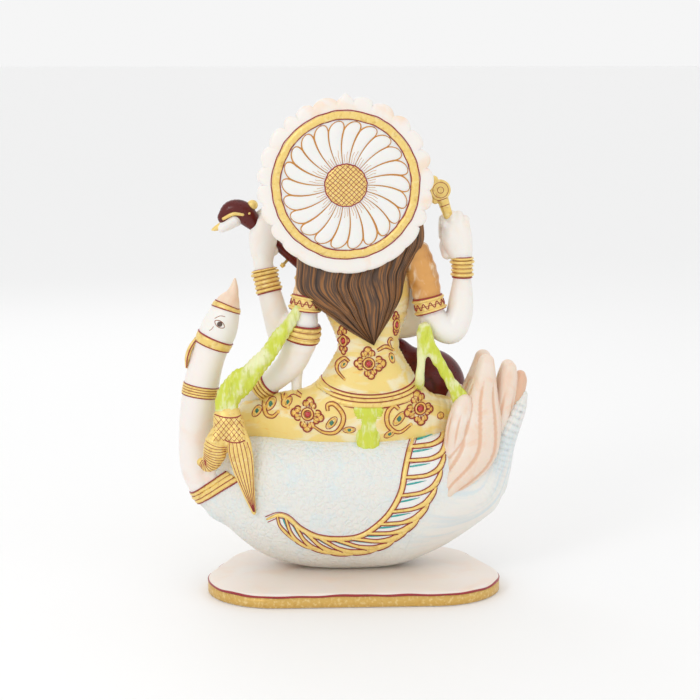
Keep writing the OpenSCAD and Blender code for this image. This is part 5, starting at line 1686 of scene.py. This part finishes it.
def make_scarf():
    crinkle = lambda p: 0.35 * np.sin(p[:, 0] * 0.9 + p[:, 2]
                                      * 0.35) + 0.2 * np.sin(p[:, 0] * 2.1 - p[:, 2] * 0.5)
    left = Limb([(33, 3, 172, 2.4, 3), (36, 3.6, 167, 3.4, 3.6), (43, 5, 157, 4.6, 4), (52, 6, 145, 5, 4.4),
                 (61, 6, 134, 6.4, 4.6), (70, 5, 126, 8.2, 5), (76, 4.6, 117, 7.4, 4.8),
                 (77, 5.6, 105, 7.4, 4.6)])
    carve("scarf_over_arm", lambda p: left(p) + crinkle(p), (26, -6, 99), (90, 14, 178), 0.7, LIME,
          "scarf_green", ["scarf_left"])
    down = Limb([(-43, 4, 160, 4.2, 3.2), (-42, 4.6, 150, 3.2, 2.8), (-41, 5, 138, 2.6, 2.4),
                 (-40.6, 3, 128, 2.8, 2.4),
                 (-40.2, -5, 120, 2.8, 2.4), (-40, -12, 113, 2.8, 2.4)])
    out = Limb([(-43, 4, 157, 4.4, 3.2), (-46, 5, 149, 4.2, 3), (-52, 5, 139, 3.4, 2.8),
                (-59, 4, 127, 3.4, 2.8),
                (-66, 2, 115, 5.2, 3.6), (-68.4, 0, 106, 5.6, 5)])
    carve("scarf_by_side", lambda p: union(down, out, k=2.5)(p) + 0.6 * crinkle(p), (-78, -17, 98),
          (-34, 12, 168),
          0.65, LIME, "scarf_green", ["scarf_right"])
    knot = Limb([(-9, 8, 116, 11, 3.6), (-8.8, 10, 110, 10, 3.6), (-8.6, 9.6, 102, 8, 3),
                 (-8.6, 9.4, 94, 7.2, 2.8),
                 (-8.8, 10, 88.5, 6.6, 2.6)])
    ridges = lambda p: knot(p) - 0.55 * np.abs(np.sin((p[:, 0] + 9) * 0.62)) + 0.3
    under = lambda p: p[:, 2] - belt_height(p[:, 0], p[:, 1]) + 3.2
    carve("scarf_tail_end", lambda p: np.maximum(ridges(p), under(p)), (-24, 2, 82), (6, 18, 116), 0.6,
          LIME,
          "scarf_green", ["scarf_back"])


def make_brocade():
    """Gold brocade end of the scarf: crosshatched top, pleated fall and ribbed curl."""
    top = Limb([(76.6, 6, 108, 8.4, 5.4), (75.8, 7.4, 103, 9.4, 6.4), (74.8, 9.6, 96, 9.6, 6.4),
                (74.8, 10.5, 91, 7, 5.4)])
    curl = Limb([(79.5, 10, 100, 5, 5.4), (83, 12, 92, 7, 5.8), (84.6, 12.2, 84, 6.6, 5.4),
                 (88, 11, 78.5, 4.6, 4.4),
                 (92.4, 9, 79.5, 2.4, 2.8)])
    fall = Limb([(71, 11, 99, 5.4, 4.8), (69.4, 15, 91, 7.2, 5), (67.4, 17.4, 80, 6.8, 4.6),
                 (64.6, 18.6, 66, 4.2, 3.4),
                 (60.8, 18.6, 50, 1.1, 1.4)])

    def field(p):
        ribbed = curl(p) - 0.5 * np.abs(np.sin(curl.angle(p)[1] * math.pi * 3.6)) + 0.2
        pleated = fall(p) - 0.55 * np.abs(np.sin(fall.angle(p)[0] * 2 * math.pi * 5)) + 0.2
        return smooth_min(smooth_min(top(p), ribbed, 1.4), pleated, 1.4)
    carve("gold_brocade", field, (54, -3, 46), (98, 26, 124), 0.6, GOLD, "gold_paint", ["scarf_brocade"])
    skin, rays = Skin("gold_brocade"), from_side(1)
    lines = Trim(skin, rays)
    for k in range(-5, 6):
        for s in (-1, 1):
            c = 75.5 + k * 3.1
            z = np.linspace(94, 107.5, 12)
            x = c + s * (z - 101) * 0.9
            ok = np.abs(x - 75.6) < 9.6
            if ok.sum() > 3:
                lines.ribbon(np.column_stack([x[ok], z[ok]]), 0.17, 0.22)
    for line in ([(67, 108.6), (71, 107.4), (77, 107.4), (85, 108.8)],
                 [(66.0, 94.6), (70, 93.4), (76, 93.6), (78, 94.8)]):
        lines.ribbon(bezier(line), 0.4, 0.4)
    for off in np.linspace(-1, 1, 6):
        line = bezier([(70 + off * 5.4, 93.4), (68.6 + off * 6.2, 86), (66.6 + off * 5.2, 76),
                       (64 + off * 3, 64),
                       (60.8 + off * 0.4, 51)])
        lines.ribbon(line, 0.22, 0.3)
    for s in np.linspace(0.25, 0.97, 15):
        i = np.array([s * (len(curl.c) - 1.01)])
        c, r, t, u = [curl.at(i, column)[0] for column in (curl.c, curl.r, curl.t, curl.u)]
        a = np.linspace(-0.95, 0.95, 12)
        arc = np.column_stack([c[0] + u[0] * r[0] * a + t[0] * (1 - a ** 2) * 1.2,
                               c[2] + u[2] * r[0] * a + t[2] * (1 - a ** 2) * 1.2])
        lines.ribbon(arc, 0.2, 0.28)
    lines.piece("brocade_lines", WINE, "wine_red")


def make_collar():
    """Slanted gold collar where the swan's neck leaves its body, and the small tassel higher up."""
    skin = Skin("swan_trunk", "swan_neck_shaft")
    middle, way = np.array([83.6, SWAN_Y, 63.0]), np.array([0.60, 0.0, 0.80])
    side = np.array([0.80, 0.0, -0.60])
    a = turns(90)
    out = side[None] * np.cos(a)[:, None] + np.array([0, 1.0, 0])[None] * np.sin(a)[:, None]

    def landed(offset, half):
        steps = np.linspace(-1, 1, 5)
        start = middle + way * offset + out * 45
        start = start[:, None] + way[None, None] * (half * steps)[None, :, None]
        hit, nor = skin.cast(start.reshape(-1, 3), np.repeat(-out, 5, 0))
        return hit.reshape(-1, 5, 3), nor.reshape(-1, 5, 3)
    edge = [landed(offset, 0.4)[0] for offset in (-4.4, 0, 4.4)]
    near = lambda h: np.linalg.norm(h - middle, axis=2).max(1) < 31
    good = np.all([np.isfinite(h).all((1, 2)) & near(h) for h in edge], 0)

    def band(trim, offset, half, rise):
        hit, nor = landed(offset, half)
        mid = nor.mean(1)
        mid /= np.maximum(np.linalg.norm(mid, axis=1), 1e-6)[:, None]
        top = hit + mid[:, None] * (rise * np.array([0.3, 0.9, 1, 0.9, 0.3]))[None, :, None]
        rings = np.concatenate([top, hit[:, [-1, 0]] - mid[:, None] * 0.8], 1)
        first = int(np.argmax(~good))
        order = [(first + i) % len(a) for i in range(len(a))]
        trim.add(*ring_loft(rings[[i for i in order if good[i]]], closed=good.all()))

    gold_t, wine_t = Trim(), Trim()
    for offset, half, rise in ((2.4, 1.3, 1.1), (0, 1.5, 1.4), (-2.6, 1.4, 1.1)):
        band(gold_t, offset, half, rise)
    for offset in (4.0, 1.1, -1.25, -4.2):
        band(wine_t, offset, 0.34, 0.9)
    gold_t.piece("swan_gold_collar", GOLD, stands_for=["swan_collar"])
    wine_t.piece("swan_collar_lines", WINE, "wine_red")
    drop = Limb([(95.0, SWAN_Y, 151.5, 1.4, 2.4), (98.6, SWAN_Y, 146, 1.7, 3.2),
                 (100.6, SWAN_Y, 140, 1.7, 3),
                 (101.2, SWAN_Y, 134, 0.9, 1.4)])
    carve("swan_tassel", drop, (90, -20, 130), (105, -8, 155), 0.5, GOLD, "gold_paint")
    edge = Trim()
    for s in (-1, 1):
        tube(edge, drop.c + np.column_stack([0 * drop.r[:, 0], s * drop.r[:, 1], 0 * drop.r[:, 0]]), 0.4)
    edge.piece("swan_tassel_edge", WINE, "wine_red")


def make_necklace():
    beads = Trim()
    skin = Skin("torso_cast", "neck_cast")
    for width, low, count, size in ((15, 186, 22, 1.25), (20.5, 176, 30, 1.4)):
        a = np.linspace(-1, 1, count)
        x = -3 + width * a
        z = low + (203 - low) * np.abs(a) ** 1.7
        hit, nor = skin.cast(*from_side(-1)(np.column_stack([x, z])))
        for h, n in zip(hit, nor):
            if np.isfinite(h).all():
                lat = np.linspace(0.1, math.pi - 0.1, 7)
                lon = turns(10)
                loops = [np.column_stack([np.sin(t) * np.cos(lon), np.sin(t) * np.sin(lon),
                                          np.full(10, -math.cos(t))]) * size + h + n * size
                         * 0.4 for t in lat]
                beads.add(*ring_loft(loops))
    beads.piece("bead_necklaces", GOLD, stands_for=["bust_necklace"])
    hit, nor = skin.cast(*from_side(-1)(np.array([[-3.0, 174.5]])))
    ball("necklace_pendant", hit[0] + nor[0] * 0.6, (2.8, 1.6, 3.4), RED_GEM, "wine_red")


# ---------------------------------------------------------------- floor, light, camera

def sun_panel(name, at, towards, size, watts):
    light = bpy.data.lights.new(name, "AREA")
    light.shape, light.size, light.energy = "DISK", size, watts
    obj = bpy.data.objects.new(name, light)
    bpy.context.scene.collection.objects.link(obj)
    obj.location = at
    obj.rotation_euler = (Vector(towards) - Vector(at)).to_track_quat("-Z", "Y").to_euler()


def make_studio():
    mesh = bpy.data.meshes.new("studio_floor")
    mesh.from_pydata([(-20, -20, 0), (20, -20, 0), (20, 20, 0), (-20, 20, 0)], [], [(0, 1, 2, 3)])
    floor = bpy.data.objects.new("studio_floor", mesh)
    bpy.context.scene.collection.objects.link(floor)
    white = Paint("studio_white", (0.95, 0.95, 0.95), rough=0.6)
    mesh.materials.append(white.done())
    world = bpy.data.worlds.new("soft_white")
    world.use_nodes = True
    world.node_tree.nodes["Background"].inputs[0].default_value = (1, 1, 1, 1)
    world.node_tree.nodes["Background"].inputs[1].default_value = 0.92
    bpy.context.scene.world = world
    middle = (0, 0, 0.15)
    sun_panel("key_panel", (0.75, 1.0, 0.85), middle, 0.45, 2.7)
    sun_panel("fill_panel", (-1.0, 0.75, 0.5), middle, 0.8, 0.4)
    sun_panel("front_panel", (0.3, -1.1, 0.8), middle, 0.7, 1.0)
    sun_panel("top_panel", (0, 0.1, 1.3), middle, 0.7, 0.5)


def make_camera():
    turn, height, far = math.radians(177), math.radians(9.2), 1.18
    aim = Vector((0.0018, 0.0, 0.146))
    back = Vector((math.sin(turn) * math.cos(height), -math.cos(turn) * math.cos(height), math.sin(height)))
    camera = bpy.data.cameras.new("studio_camera")
    camera.lens, camera.sensor_width = 100, 36
    obj = bpy.data.objects.new("studio_camera", camera)
    bpy.context.scene.collection.objects.link(obj)
    obj.location = aim + back * far
    obj.rotation_euler = (-back).to_track_quat("-Z", "Y").to_euler()
    bpy.context.scene.camera = obj


make_plinth()
make_swan()
make_swan_trim()
make_plumes()
for side, word in ((1, "back"), (-1, "front")):
    make_wing(side, word, word + "_wing")
make_figure()
make_feet()
make_belt()
make_ornament()
make_head()
make_crown()
make_hair()
make_halo()
make_arms()
make_hands()
make_bangles()
make_goad()
make_veena()
make_scarf()
make_brocade()
make_collar()
make_necklace()
for pin in ("plinth_dowels", "figure_dowel", "halo_dowel"):
    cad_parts[pin].data.materials.clear()
    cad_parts[pin].data.materials.append(STEEL)
make_studio()
make_camera()
bpy.context.scene.view_settings.view_transform = "Standard"
